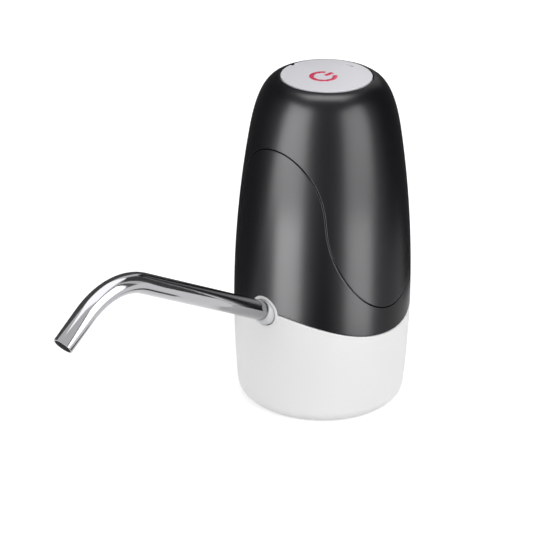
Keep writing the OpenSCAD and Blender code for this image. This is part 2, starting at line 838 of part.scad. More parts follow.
module pump_body() {
    body_t = motor_z - pump_body_z;
    drop = (elbow_z - outlet_z - nipple_gap) / 2;
    cavity_top = pump_body_z + cavity_h;
    color("#b4b8bd") difference() {
        union() {
            translate([0, 0, pump_body_z]) linear_extrude(body_t) pump_outline(pump_r);
            for (sy = [-1, 1]) {
                translate([pump_x, sy * ear_y, pump_body_z]) cylinder(r = ear_r, h = ear_t);
                translate([pump_x - ear_r, min(sy * ear_y, sy * pitch_r), pump_body_z])
                    cube([2 * ear_r, ear_y - pitch_r, ear_t]);
            }
            at_motor() {
                translate([0, 0, motor_z - cup_floor])
                    cylinder(r = motor_r + seat_fit + cup_wall, h = cup_floor);
                translate([0, 0, motor_z - 0.5])
                    ring(motor_r + seat_fit + cup_wall, motor_r + seat_fit, cup_h + 0.5);
            }
            translate([pump_x + pump_r - 1, 0, arm_z]) rotate([0, 90, 0])
                cylinder(r = arm_r, h = outlet_x - pump_x - pump_r + 1);
            translate([outlet_x, 0, elbow_z]) cylinder(r = elbow_r, h = 2 * arm_r + 1);
            translate([outlet_x, 0, elbow_z - drop]) cylinder(r = hose_nipple_r, h = drop + 0.5);
        }
        translate([0, 0, pump_body_z - 1]) linear_extrude(cavity_h + 1) cavity_outline(0);
        translate([pump_x + port_reach, 0, arm_z]) rotate([0, 90, 0])
            cylinder(r = outlet_r, h = outlet_x - pump_x - port_reach);
        translate([outlet_x, 0, elbow_z - drop - 1]) cylinder(r = outlet_r, h = arm_z - elbow_z + drop + 1);
        translate([pump_x, -pitch_r, cavity_top - 1]) cylinder(r = pin_r + run_fit, h = pin_seat + 1);
        at_motor() {
            translate([0, 0, cavity_top - 1]) cylinder(r = shaft_r + easy_fit, h = body_t);
            translate([0, 0, motor_z - bearing_boss_h - shaft_seal_t - easy_fit])
                cylinder(r = seal_pocket_r, h = body_t);
            translate([0, 0, motor_z - bearing_boss_h - easy_fit])
                cylinder(r = boss_pocket_r, h = body_t);
        }
        motor_screw_places() {
            translate([0, 0, pump_body_z - 1])
                cylinder(r = motor_head_r + seat_fit, h = motor_head_z - pump_body_z + 1);
            translate([0, 0, pump_body_z]) cylinder(r = small_screw_r + seat_fit, h = body_t + 1);
        }
        pump_screw_places() translate([0, 0, pump_body_z - 1])
            cylinder(r = small_screw_r + run_fit, h = pump_screw_len + 1);
        for (sy = [-1, 1]) translate([pump_x, sy * ear_y, pump_body_z - 1])
            cylinder(r = screw_r + seat_fit, h = ear_t + 2);
    }
}

module pump_screws() {
    color("silver") pump_screw_places() translate([0, 0, pump_z])
        screw(small_screw_r, 2 * small_screw_r, head_h, pump_screw_len + cover_t - 0.5);
}

module pump_mount_screws() {
    color("silver") for (sy = [-1, 1]) translate([pump_x, sy * ear_y, pump_body_z + ear_t])
        rotate([180, 0, 0]) screw(screw_r, 2 * screw_r, head_h, base_screw_len);
}

module drive_gear() {
    color("#e8dcc0") at_motor() translate([0, 0, pump_body_z + gear_play]) gear(shaft_r + run_fit, -90);
}

module driven_gear() {
    color("#e8dcc0") translate([pump_x, -pitch_r, pump_body_z + gear_play])
        gear(pin_r + run_fit, 90 + 180 / gear_teeth);
}

module gear_pin() {
    reach = pump_seal_t + cavity_h + 2 * pin_seat - 2 * gear_play;
    color("#c4c7ca") translate([pump_x, -pitch_r, pump_z + cover_t - pin_seat + gear_play])
        cylinder(r = pin_r, h = reach);
}

module shaft_seal() {
    color("#26272a") at_motor() translate([0, 0, motor_z - bearing_boss_h - shaft_seal_t - easy_fit])
        ring(seal_pocket_r - run_fit, shaft_r + run_fit, shaft_seal_t);
}

// Motor

module motor_can() {
    bush_hole = bush_r + run_fit;
    color("#a9adb3") at_motor() difference() {
        union() {
            translate([0, 0, motor_z]) cylinder(r = motor_r, h = motor_len);
            translate([0, 0, motor_z - bearing_boss_h])
                cylinder(r = bearing_boss_r, h = bearing_boss_h + 0.5);
        }
        translate([0, 0, motor_z + can_wall]) cylinder(r = motor_r - can_wall, h = motor_len);
        translate([0, 0, motor_z - bearing_boss_h - 1]) cylinder(r = bush_hole, h = bearing_boss_h + 4);
        for (sx = [-1, 1]) translate([sx * motor_hole, 0, motor_z - 1])
            cylinder(r = small_screw_r + run_fit, h = can_wall + 2);
    }
}

module motor_magnets() {
    outer = motor_r - can_wall - run_fit;
    color("#3b3c40") at_motor() for (a = [0, 180])
        translate([0, 0, motor_z + magnet_z]) rotate([0, 0, a - magnet_arc / 2])
            rotate_extrude(angle = magnet_arc) translate([outer - magnet_t, 0])
                square([magnet_t, magnet_len]);
}

module motor_bushes() {
    color("#b08d57") at_motor() {
        translate([0, 0, motor_z - bearing_boss_h]) ring(bush_r, shaft_r + run_fit, bush_len);
        translate([0, 0, terminal_z + end_hub_h - bush_len]) ring(bush_r, shaft_r + run_fit, bush_len);
    }
}

module motor_end_cap() {
    color("#e9e9e4") at_motor() difference() {
        union() {
            translate([0, 0, can_top]) cylinder(r = motor_r, h = end_cap_t);
            translate([0, 0, can_top]) cylinder(r = end_hub_r, h = end_cap_t + end_hub_h);
        }
        translate([0, 0, can_top - 1]) cylinder(r = bush_r + run_fit, h = end_cap_t + end_hub_h + 2);
    }
}

module motor_terminals() {
    blade = [0.6, 3, terminal_h];
    color("#c9a544") at_motor() for (sx = [-1, 1])
        translate([sx * terminal_at - blade[0] / 2, -blade[1] / 2, terminal_z]) cube(blade);
}

module motor_screws() {
    color("silver") motor_screw_places() translate([0, 0, motor_head_z])
        screw(small_screw_r, motor_head_r, motor_head_h, motor_z - motor_head_z + can_wall);
}

module motor_shaft() {
    bottom = pump_body_z + 2 * gear_play;
    color("#d4d6d8") at_motor() translate([0, 0, bottom])
        cylinder(r = shaft_r, h = terminal_z + end_hub_h - bottom);
}

module armature() {
    outer = motor_r - can_wall - run_fit - magnet_t - air_gap;
    slot_w = 2;
    slot_depth = 5;
    color("#8c5a2e") at_motor() translate([0, 0, motor_z + armature_z]) difference() {
        ring(outer, shaft_r + run_fit, armature_len);
        for (a = [0, 120, 240]) rotate([0, 0, a]) translate([outer - slot_depth, -slot_w / 2, -1])
            cube([slot_depth + 1, slot_w, armature_len + 2]);
    }
}

module commutator() {
    color("#b87333") at_motor() translate([0, 0, motor_z + armature_z + armature_len])
        ring(commutator_r, shaft_r + run_fit, commutator_len);
}

// Cell and leads

module battery_cell() {
    color("#2f6fb0") translate([cell_x, 0, cell_z]) {
        cylinder(d = cell_d, h = cell_len);
        translate([0, 0, cell_len - 0.5]) cylinder(r = nub_r, h = nub_h + 0.5);
    }
}

module battery_tabs() {
    side_x = cell_x - cell_d / 2 - tab_t - seat_fit;
    foot_len = cell_d / 2;
    fold = 5;
    strip_z = cell_z - tab_t;
    tab_top = cell_top + nub_h;
    color("#c2c4c6") {
        translate([cell_x - nub_r / 2, -tab_w / 2, tab_top]) cube([tab_w + nub_r / 2, tab_w, tab_t]);
        translate([side_x, -tab_w / 2, strip_z]) cube([tab_t, tab_w, tab_top + tab_t - strip_z]);
        translate([side_x, -tab_w / 2, strip_z]) cube([foot_len, tab_w, tab_t]);
        translate([side_x, -tab_w / 2, tab_top]) cube([fold, tab_w, tab_t]);
    }
}

module battery_leads() {
    foot_z = cell_top + nub_h + tab_t;
    minus_x = cell_x - cell_d / 2 + 3.8;
    color("#c23b32") for (x = [cell_x + tab_w / 2, minus_x]) translate([x, 0, foot_z])
        cylinder(r = lead_r, h = board_z - foot_z);
}

module motor_leads() {
    foot_z = terminal_z + terminal_h;
    color("#c23b32") at_motor() for (sx = [-1, 1])
        translate([sx * terminal_at, 0, foot_z]) cylinder(r = lead_r, h = board_z - foot_z);
}

// Spout

module spout_socket() {
    nipple = (elbow_z - outlet_z - nipple_gap) / 2;
    bore_z = spout_z + chamber_end * sin(spout_rise) + collar_flange_r * cos(spout_rise) - 1;
    color("#d5d6d8") difference() {
        union() {
            at_spout() translate([0, 0, socket_end])
                cylinder(r = spout_socket_r, h = socket_front - socket_end);
            translate([outlet_x, 0, spout_z + socket_end * sin(spout_rise)])
                cylinder(r = pedestal_r, h = outlet_z - spout_z - socket_end * sin(spout_rise));
            translate([outlet_x, 0, outlet_z - 0.5]) cylinder(r = hose_nipple_r, h = nipple + 0.5);
            for (sy = [-1, 1]) translate([lug_x, sy * lug_y, floor_top]) cylinder(r = post_r, h = lug_h);
            translate([bar_x0, -lug_y, floor_top]) cube([bar_x1 - bar_x0, 2 * lug_y, bar_h]);
        }
        at_spout() translate([0, 0, chamber_end])
            cylinder(r = collar_flange_r + run_fit, h = spout_run);
        translate([outlet_x, 0, bore_z]) cylinder(r = outlet_r, h = body_h);
        for (sy = [-1, 1]) translate([lug_x, sy * lug_y, floor_top - 1])
            cylinder(r = screw_r + run_fit, h = lug_h + 2);
    }
}

module socket_cap() {
    color("#d5d6d8") at_spout() translate([0, 0, socket_front]) ring(cap_r, boss_hole_r, cap_t);
}

module spout_collar() {
    bore = tube_r + run_fit;
    start = flange_front - collar_lap;
    color("#c8c9cb") at_spout() difference() {
        union() {
            translate([0, 0, flange_back]) cylinder(r = collar_flange_r, h = flange_front - flange_back);
            translate([0, 0, start]) cylinder(r = collar_r, h = ball_at - start);
            translate([0, 0, ball_at]) sphere(r = ball_r);
        }
        translate([0, 0, tube_seat]) cylinder(r = bore, h = ball_front - tube_seat + 1);
        translate([0, 0, flange_back - 1])
            cylinder(r = tube_r - 2 * tube_wall, h = ball_front - flange_back);
        translate([0, 0, tube_ring_at - ring_room])
            cylinder(r = bore + 2 * ring_r + run_fit, h = 2 * ring_room);
        translate([0, 0, swivel_ring_at - ring_room])
            ring(collar_flange_r + 1, collar_flange_r - 2 * ring_r - run_fit, 2 * ring_room);
    }
}

module swivel_o_ring() {
    color("#202124") at_spout() translate([0, 0, swivel_ring_at])
        o_ring(collar_flange_r - ring_r - run_fit / 2, ring_r);
}

module tube_o_ring() {
    color("#202124") at_spout() translate([0, 0, tube_ring_at])
        o_ring(tube_r + run_fit + ring_r, ring_r);
}

// The tube's path as a solid of radius r, lengthened by extra at both ends, a little drawn in at the bend
module spout_path(r, extra) {
    start = tube_seat + collar_play - extra;
    translate([0, 0, start]) cylinder(r = r, h = spout_run + bend_lap - start);
    translate([bend_r, 0, spout_run]) rotate([90, 0, 0]) rotate([0, 0, 180 - bend_angle])
        rotate_extrude(angle = bend_angle) translate([bend_r, 0]) circle(r = r - bend_draw);
    translate([bend_r * (1 - cos(bend_angle)), 0, spout_run + bend_r * sin(bend_angle)])
        rotate([0, bend_angle, 0]) translate([0, 0, -bend_lap])
            cylinder(r = r, h = spout_end + bend_lap + extra);
}

module spout_tube() {
    color("#c9ccd0") at_spout() difference() {
        spout_path(tube_r, 0);
        spout_path(tube_r - tube_wall, 1);
    }
}

upper_shell();
lower_shell();
base_shell();
power_button();
power_icon();
charge_window();
switch_plunger();
tact_switch();
control_board();
board_chips();
indicator_leds();
usb_port();
board_screws();
chassis();
neck_gasket();
base_screws();
inlet_fitting();
inlet_washer();
inlet_hose();
pump_cover();
pump_gasket();
pump_body();
pump_screws();
pump_mount_screws();
drive_gear();
driven_gear();
gear_pin();
shaft_seal();
motor_can();
motor_magnets();
motor_bushes();
motor_end_cap();
motor_terminals();
motor_screws();
motor_shaft();
armature();
commutator();
battery_cell();
battery_tabs();
battery_leads();
motor_leads();
outlet_hose();
spout_socket();
socket_cap();
spout_collar();
swivel_o_ring();
tube_o_ring();
spout_tube();
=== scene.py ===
# %% [markdown]
# An electric water jug pump: a black casing in two halves on a white base, a silver push disc with a lit
# power sign on top, and a bent steel spout that turns in a ball at the front. The solids come packed from
# CAD and are the fixed frame. This lesson gives them their looks: the outside pieces that show in the
# picture, and the neck seal, are built again with rounded edges and fine seams, and every finish is made
# from nodes.

# %% Load the imported solids and keep them with their record
import json
import math

import bmesh
import bpy
import numpy as np
from mathutils import Matrix, Vector


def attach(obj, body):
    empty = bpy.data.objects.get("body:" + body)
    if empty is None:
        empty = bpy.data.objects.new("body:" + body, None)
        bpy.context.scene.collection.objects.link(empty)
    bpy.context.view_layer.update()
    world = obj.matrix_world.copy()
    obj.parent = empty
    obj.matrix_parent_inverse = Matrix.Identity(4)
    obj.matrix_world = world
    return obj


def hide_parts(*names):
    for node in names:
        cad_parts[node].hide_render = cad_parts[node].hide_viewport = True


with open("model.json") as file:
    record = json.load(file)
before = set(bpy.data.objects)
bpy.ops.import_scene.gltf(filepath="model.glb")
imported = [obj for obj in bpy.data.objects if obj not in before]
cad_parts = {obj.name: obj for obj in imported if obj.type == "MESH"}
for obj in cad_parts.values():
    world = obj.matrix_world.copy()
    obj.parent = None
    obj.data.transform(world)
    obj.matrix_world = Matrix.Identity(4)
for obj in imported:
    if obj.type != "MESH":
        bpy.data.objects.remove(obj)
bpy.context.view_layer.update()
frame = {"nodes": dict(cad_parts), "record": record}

# %% [markdown]
# A finish is a material made of nodes. Writing a node tree by hand takes many lines, so two small classes
# do the typing. Wire holds one output socket: adding or multiplying wires adds Math nodes. Finish holds
# the tree, and its one method, node, adds any other node: the settings go in first, then the values or
# links.

# %% Wire and Finish
class Wire:
    """One output socket of a finish; sums and products of wires add Math nodes."""

    def __init__(self, finish, socket):
        self.finish = finish
        self.socket = socket

    def math(self, operation, first, second):
        return self.finish.node("ShaderNodeMath", {"operation": operation}, {0: first, 1: second})

    def __add__(self, other):
        return self.math("ADD", self, other)

    def __sub__(self, other):
        return self.math("SUBTRACT", self, other)

    def __rsub__(self, other):
        return self.math("SUBTRACT", other, self)

    def __mul__(self, other):
        return self.math("MULTIPLY", self, other)

    __radd__ = __add__
    __rmul__ = __mul__


class Finish:
    """A material, or the world, and the one method that adds nodes to it."""

    def __init__(self, owner):
        owner.use_nodes = True
        self.owner = owner
        self.tree = owner.node_tree
        self.tree.nodes.clear()

    def feed(self, socket, value):
        if isinstance(value, Wire):
            self.tree.links.new(value.socket, socket)
        else:
            socket.default_value = value

    def node(self, kind, settings=None, inputs=None, out=0):
        made = self.tree.nodes.new(kind)
        for key, value in (settings or {}).items():
            if key == "stops":
                for stop, (place, colour) in zip(made.color_ramp.elements, value):
                    stop.position, stop.color = place, colour
            else:
                setattr(made, key, value)
        for key, value in (inputs or {}).items():
            self.feed(made.inputs[key], value)
        return Wire(self, made.outputs[out])

    def noise(self, scale, detail, vector=None):
        """A soft random value about 0.5, with this many waves to the metre."""
        if vector is None:
            vector = self.node("ShaderNodeTexCoord", out="Object")
        return self.node("ShaderNodeTexNoise", {"noise_dimensions": "3D"},
                         {"Vector": vector, "Scale": scale, "Detail": detail})

    def mix(self, fac, first, second):
        """A colour between two; the Mix node takes colours at 6 and 7 and gives one at 2."""
        return self.node("ShaderNodeMix", {"data_type": "RGBA"}, {"Factor": fac, 6: first, 7: second}, out=2)

    def surface(self, constants, **varied):
        """The Principled shader: constants sit on its own sockets, and what varies is linked."""
        inputs = dict(constants)
        inputs.update({key.replace("_", " "): value for key, value in varied.items()})
        shader = self.node("ShaderNodeBsdfPrincipled", None, inputs)
        self.node_output("ShaderNodeOutputMaterial", shader)
        return self.owner

    def node_output(self, kind, shader):
        self.feed(self.tree.nodes.new(kind).inputs["Surface"], shader)


def linear(red, green, blue):
    """A screen colour, 0 to 255, as the linear colour that shaders want."""
    parts = [value / 255 for value in (red, green, blue)]
    parts = [p / 12.92 if p <= 0.04045 else ((p + 0.055) / 1.055) ** 2.4 for p in parts]
    return (*parts, 1.0)


def shaded(colour, share):
    """The colour times a share, and never past white."""
    return tuple(min(1.0, channel * share) for channel in colour[:3]) + (1.0,)


print("a mid grey of 128 is", round(linear(128, 128, 128)[0], 3), "in linear light")

# %% [markdown]
# Moulded plastic is never one flat colour. The tool that shapes it leaves a fine grain, the melt flows
# and cools a little unevenly, and handling polishes it. Two noises give that: a coarse one drifts the
# colour and the gloss over centimetres, and a fine one is the grain, which a Bump node turns into tiny
# hills.

# %% Moulded plastics and rubbers
def moulded(name, colour, roughness, specular, grain=5000, height=2e-6, drift=0.06, sheen=0.05, clear=0.0):
    finish = Finish(bpy.data.materials.new(name))
    flow = finish.noise(45, 3)
    fine = finish.noise(grain, 3)
    bump = finish.node("ShaderNodeBump", None, {"Height": fine, "Strength": 1.0, "Distance": height})
    constants = {"Specular IOR Level": specular, "Coat Weight": clear, "Coat Roughness": 0.1}
    shade = finish.mix(flow, shaded(colour, 1 - drift), shaded(colour, 1 + drift))
    return finish.surface(constants, Base_Color=shade,
                          Roughness=roughness + sheen * (flow + fine - 1), Normal=bump)


FINISHES = {
    "black_shell": moulded("satin_black_plastic", linear(9, 9, 13), 0.315, 0.12),
    "white_base": moulded("white_plastic", linear(235, 235, 235), 0.45, 0.35, drift=0.008),
    "grey_mould": moulded("grey_moulding", linear(196, 198, 202), 0.45, 0.5, drift=0.03),
    "end_cap_plastic": moulded("motor_cap_plastic", linear(226, 222, 208), 0.5, 0.5),
    "gear_nylon": moulded("gear_nylon", linear(232, 226, 206), 0.42, 0.5),
    "chip_black": moulded("chip_black", linear(30, 30, 32), 0.55, 0.4, grain=9000),
    "cell_wrap": moulded("cell_wrap", linear(36, 104, 168), 0.3, 0.5, grain=700, height=1e-5),
    "lead_red": moulded("lead_insulation", linear(176, 28, 28), 0.45, 0.5),
    "black_rubber": moulded("black_rubber", linear(26, 26, 27), 0.7, 0.3, grain=3000, height=6e-6),
    "pale_silicone": moulded("pale_silicone", linear(226, 226, 220), 0.6, 0.35, grain=2000, height=5e-6),
    "led_lens": moulded("led_lens", linear(246, 240, 214), 0.25, 0.5, clear=0.4),
}
print("plastics:", sorted(FINISHES))

# %% [markdown]
# Metal shows its making too: turning, drawing or rolling leaves lines. For a sheet or turned part the
# noise is pulled long along one axis, so it reads as brushing. The steel of the spout is polished, so its
# lines are faint, and they follow the tube by an attribute that the tube's mesh carries (see the spout).

# %% Metals
def brushed(name, colour, roughness, stretch, lines=0.08, height=1e-6):
    finish = Finish(bpy.data.materials.new(name))
    place = finish.node("ShaderNodeTexCoord", out="Object")
    pulled = finish.node("ShaderNodeMapping", None, {"Vector": place, "Scale": stretch})
    streak = finish.noise(1, 4, pulled)
    cloud = finish.noise(90, 3)
    dull = shaded(colour, 0.9)
    bump = finish.node("ShaderNodeBump", None, {"Height": streak, "Strength": 1.0, "Distance": height})
    return finish.surface({"Metallic": 1.0}, Base_Color=finish.mix(cloud, dull, colour),
                          Roughness=roughness + lines * (streak + cloud - 1), Normal=bump)


def drawn_steel(name, colour, roughness):
    finish = Finish(bpy.data.materials.new(name))
    across = finish.node("ShaderNodeAttribute", {"attribute_name": "across"}, out="Vector")
    along = finish.node("ShaderNodeAttribute", {"attribute_name": "along"}, out="Fac")
    place = finish.node("ShaderNodeCombineXYZ", None, {"Z": along * 6})
    spot = finish.node("ShaderNodeVectorMath", {"operation": "ADD"}, {0: across, 1: place})
    line = finish.noise(1400, 3, spot)
    smear = finish.noise(60, 3)
    dull = shaded(colour, 0.94)
    return finish.surface({"Metallic": 1.0}, Base_Color=finish.mix(smear, dull, colour),
                          Roughness=roughness + 0.03 * (line - 0.5) + 0.04 * (smear - 0.5))


FINISHES.update({
    "stainless": drawn_steel("polished_stainless", linear(168, 168, 171), 0.09),
    "screw_steel": brushed("screw_steel", linear(205, 206, 210), 0.28, (900, 900, 4000)),
    "shaft_steel": brushed("ground_shaft_steel", linear(214, 214, 218), 0.2, (3000, 3000, 60)),
    "can_steel": brushed("plated_sheet_steel", linear(198, 200, 204), 0.25, (300, 300, 2600)),
    "magnet": brushed("magnet_grey", linear(92, 92, 96), 0.5, (2000, 2000, 2000)),
    "bronze": brushed("sintered_bronze", linear(196, 150, 92), 0.42, (3000, 3000, 3000)),
    "copper": brushed("copper_winding", linear(206, 122, 72), 0.3, (600, 600, 3400)),
})
print("metals added, finishes now:", len(FINISHES))

# %% [markdown]
# Four kinds of finish stand apart. The disc is a fine silver paint: pale, even, with a very small
# sparkle. The collar is smooth grey enamel. The power sign and the charge window are tinted light guides:
# clear plastic that glows a little from the lamps on the board below. The board is green lacquer over
# copper tracks, which a wave draws.

# %% Disc, collar, light guides and board
def painted(name, colour, roughness, flake, sparkle, specular):
    finish = Finish(bpy.data.materials.new(name))
    place = finish.node("ShaderNodeTexCoord", out="Object")
    flakes = finish.node("ShaderNodeTexVoronoi", {"feature": "F1"},
                         {"Vector": place, "Scale": flake}, out="Color")
    grey = finish.node("ShaderNodeRGBToBW", None, {"Color": flakes})
    drift = finish.noise(60, 2)
    shade = finish.mix(grey, shaded(colour, 1 - sparkle), shaded(colour, 1 + sparkle))
    return finish.surface({"Specular IOR Level": specular}, Base_Color=shade,
                          Roughness=roughness + 0.06 * (drift - 0.5) + 0.04 * (grey - 0.5))


def light_guide(name, colour, glow):
    finish = Finish(bpy.data.materials.new(name))
    cloud = finish.noise(700, 2)
    deep = shaded(colour, 0.86)
    shade = finish.mix(cloud, deep, colour)
    return finish.surface({"Emission Strength": glow, "Coat Weight": 0.3}, Base_Color=shade,
                          Emission_Color=shade, Roughness=0.28 + 0.1 * (cloud - 0.5))


def lacquer_board(name):
    finish = Finish(bpy.data.materials.new(name))
    place = finish.node("ShaderNodeTexCoord", out="Object")
    tracks = finish.node("ShaderNodeTexWave", {"wave_type": "BANDS", "bands_direction": "DIAGONAL"},
                         {"Vector": place, "Scale": 260.0, "Distortion": 3.0}, out="Fac")
    shade = finish.mix(tracks, linear(20, 78, 44), linear(34, 112, 62))
    bump = finish.node("ShaderNodeBump", None, {"Height": tracks, "Strength": 0.6, "Distance": 2e-5})
    return finish.surface({"Specular IOR Level": 0.5}, Base_Color=shade,
                          Roughness=0.3 + 0.1 * tracks, Normal=bump)


FINISHES.update({
    "silver_disc": painted("silver_paint", linear(208, 207, 212), 0.36, 3500, 0.02, specular=0.3),
    "grey_collar": painted("grey_enamel", linear(204, 205, 207), 0.5, 2500, 0.01, specular=0.2),
    "red_light": light_guide("crimson_light_guide", linear(206, 38, 84), 0.12),
    "pale_light": light_guide("pale_light_guide", linear(188, 188, 194), 0.02),
    "board_green": lacquer_board("board_lacquer"),
})
for part in frame["record"]["subparts"]:
    carried = frame["nodes"][part["node"]]
    carried.data.materials.clear()
    carried.data.materials.append(FINISHES[part["material_slot"]])

# %% [markdown]
# Every piece built here but the spout is a stack of closed loops: rings of points, one after the other,
# that follow the body's skin, a seam, a plain circle or a section. Joining each loop to the next makes
# quads, and joining the last loop to the first closes the piece, like a very tall doughnut. Sizes are in
# millimetres and become metres in one place.

# %% From loops to a mesh
MM = 0.001
SHARP = math.radians(32)


def finish_mesh(name, made):
    """Merges doubles, turns faces outwards, shades smooth but for sharp corners, and returns an object."""
    bmesh.ops.remove_doubles(made, verts=made.verts, dist=1e-7)
    bmesh.ops.dissolve_degenerate(made, edges=made.edges, dist=1e-8)
    bmesh.ops.recalc_face_normals(made, faces=made.faces)
    mesh = bpy.data.meshes.new(name)
    made.to_mesh(mesh)
    made.free()
    mesh.polygons.foreach_set("use_smooth", [True] * len(mesh.polygons))
    mesh.set_sharp_from_angle(angle=SHARP)
    piece = bpy.data.objects.new(name, mesh)
    bpy.context.scene.collection.objects.link(piece)
    return piece


def stack(name, loops, joined=True):
    """Skins a list of closed loops; joined loops back to the first one, or else the ends get a face each."""
    made = bmesh.new()
    rows = [[made.verts.new(Vector(point) * MM) for point in loop] for loop in loops]
    count = len(rows[0])
    pairs = list(zip(rows, rows[1:])) + ([(rows[-1], rows[0])] if joined else [])
    for low, high in pairs:
        for i in range(count):
            j = (i + 1) % count
            made.faces.new((low[i], low[j], high[j], high[i]))
    if not joined:
        made.faces.new(rows[0])
        made.faces.new(rows[-1])
    return finish_mesh(name, made)


def circle(r, z, turn):
    return np.column_stack([r * np.cos(turn), r * np.sin(turn), np.full_like(turn, z)])


def arc(middle_r, middle_z, radius, first, last, steps=6):
    """Points (r, z) of a rounded edge, by its middle, radius and two angles in degrees."""
    turn = np.radians(np.linspace(first, last, steps))
    return [(middle_r + radius * math.cos(a), middle_z + radius * math.sin(a)) for a in turn]


def even_turn(columns):
    return np.arange(columns) * 2 * math.pi / columns


def lathe(name, outline, columns, joined=True):
    """Turns an outline of (r, z) about Z: joined to itself when hollow, or else with a face at each end."""
    return stack(name, [circle(r, z, even_turn(columns)) for r, z in outline], joined)


print("a quarter round has the points", [(round(r, 2), round(z, 2)) for r, z in arc(0, 0, 1, 0, 90, 3)])

# %% [markdown]
# Holes, bosses and pockets are cut from a piece, or joined to it, by the Boolean modifier, which works on
# the real shapes. The result is kept as a plain mesh, because the tool that it was made with is thrown
# away. A piece that is ready gets its finish and its body, and the solid that it stands for is hidden.

# %% Place, combine and hand over
def placed(piece, matrix):
    """Applies a place in millimetres to the piece's mesh, so the object stays at the origin."""
    shift = Matrix.Translation(matrix.to_translation() * MM) @ matrix.to_3x3().to_4x4()
    piece.data.transform(shift)
    return piece


def combine(piece, tool, how):
    """Cuts the tool from the piece, or joins it on, and removes the tool."""
    step = piece.modifiers.new("combine", "BOOLEAN")
    step.operation, step.solver, step.object = how, "EXACT", tool
    result = piece.evaluated_get(bpy.context.evaluated_depsgraph_get())
    mesh = bpy.data.meshes.new_from_object(result)
    piece.modifiers.clear()
    piece.data = mesh
    bpy.data.objects.remove(tool)
    mesh.polygons.foreach_set("use_smooth", [True] * len(mesh.polygons))
    mesh.set_sharp_from_angle(angle=SHARP)
    return piece


def stand_for(piece, node, slot, body):
    """Gives the piece its finish, lets it ride on its body and hides the solid that it stands for."""
    piece.data.materials.clear()
    piece.data.materials.append(FINISHES[slot])
    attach(piece, body)
    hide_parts(node)
    print(piece.name, "faces:", len(piece.data.polygons))


print("edges past", round(math.degrees(SHARP)), "degrees stay crisp")

# %% [markdown]
# The body's outline is one long arc with a 460 mm radius, rounded under at the foot and drawn in over the
# shoulder to the rim by a Bezier curve. It is measured once, as a fine polyline with its length and its
# outward direction, so that any point of the skin can be named by a turn about the axis, a length along
# the outline and a depth below it.

# %% The body's outline
BODY_R, WIDEST_Z, SIDE_ARC = 37.5, 45.0, 460.0
FOOT = 6.0
SHOULDER_Z, SHOULDER_LEAD = 119.0, 12.0
RIM_R, RIM_Z, CROWN_LEAD, CROWN_TILT = 19.6, 143.0, 7.0, math.radians(12)
HAIR = 0.0005


def side_radius(z):
    return BODY_R - SIDE_ARC + np.sqrt(SIDE_ARC ** 2 - (z - WIDEST_Z) ** 2)


foot_x = BODY_R - SIDE_ARC + math.sqrt((SIDE_ARC - FOOT) ** 2 - (FOOT - WIDEST_Z) ** 2)
foot_turn = math.degrees(math.atan2(FOOT - WIDEST_Z, foot_x - BODY_R + SIDE_ARC))
foot = np.array(arc(foot_x, FOOT, FOOT, -90, foot_turn, 24))
side_z = np.linspace(foot[-1, 1], SHOULDER_Z, 240)[1:]
sides = np.column_stack([side_radius(side_z), side_z])
lean = math.asin((SHOULDER_Z - WIDEST_Z) / SIDE_ARC)
corners = [sides[-1], sides[-1] + SHOULDER_LEAD * np.array([-math.sin(lean), math.cos(lean)]),
           np.array([RIM_R + CROWN_LEAD * math.cos(CROWN_TILT), RIM_Z - CROWN_LEAD * math.sin(CROWN_TILT)]),
           np.array([RIM_R, RIM_Z])]
share = np.linspace(0, 1, 200)[1:, None]
weights = enumerate((1, 3, 3, 1))
crown = sum(weight * share ** k * (1 - share) ** (3 - k) * corners[k] for k, weight in weights)
outline = np.vstack([foot, sides, crown])
length = np.concatenate([[0], np.cumsum(np.hypot(*np.diff(outline, axis=0).T))])
slope = np.gradient(outline, length, axis=0)
outward = np.column_stack([slope[:, 1], -slope[:, 0]]) / np.hypot(*slope.T)[:, None]


def skin_rz(run, depth=0.0):
    """Radius and height of the skin at a length along the outline, a depth below its surface."""
    inward = depth + HAIR
    return [np.interp(run, length, outline[:, k]) - inward * np.interp(run, length, outward[:, k])
            for k in (0, 1)]


def on_skin(turn, run, depth=0.0):
    r, z = skin_rz(run, depth)
    return np.column_stack([r * np.cos(turn), r * np.sin(turn), z])


def run_at(z):
    return np.interp(z, outline[:, 1], length)


print("outline is", round(float(length[-1]), 1), "mm long from foot to rim")

# %% [markdown]
# Two lines cross the skin. The seam between the black halves is, seen from the side, an arch that drops
# from the front to a tongue with a round end; the line between black and white is a shallow bowl. Both
# are drawn in the side view and carried onto the skin. A line is a pair: turns about the axis, and
# lengths along the outline.

# %% The seam and the edge of the white base
QUARTER = 96
COLUMNS = 4 * QUARTER
TONGUE_HALF, TONGUE_Z, TONGUE_DROP, TONGUE_RUN, ARCH_R = 26.3, 89.0, 38.0, 5.0, 65.0
EDGE_ARC, EDGE_MIDDLE = 70.0, 109.2
SEAM_ABOVE, SEAM_SAMPLES = 3.0, 40000


def tongue_x(z):
    """Half width of the tongue, seen from the side, at a height."""
    arch = TONGUE_HALF + ARCH_R - np.sqrt(np.maximum(0, ARCH_R ** 2 - (z - TONGUE_Z - TONGUE_RUN) ** 2))
    end = TONGUE_HALF * np.sqrt(np.maximum(0, 1 - ((TONGUE_Z - z) / TONGUE_DROP) ** 2))
    return np.where(z > TONGUE_Z + TONGUE_RUN, arch, np.where(z > TONGUE_Z, TONGUE_HALF, end))


def all_round(turn, run):
    """A quarter of a line, from the front to the side, mirrored into the whole of it."""
    quarters = [turn[:-1], math.pi - turn[:0:-1], math.pi + turn[:-1], 2 * math.pi - turn[:0:-1]]
    return np.concatenate(quarters), np.concatenate([run[:-1], run[:0:-1]] * 2)


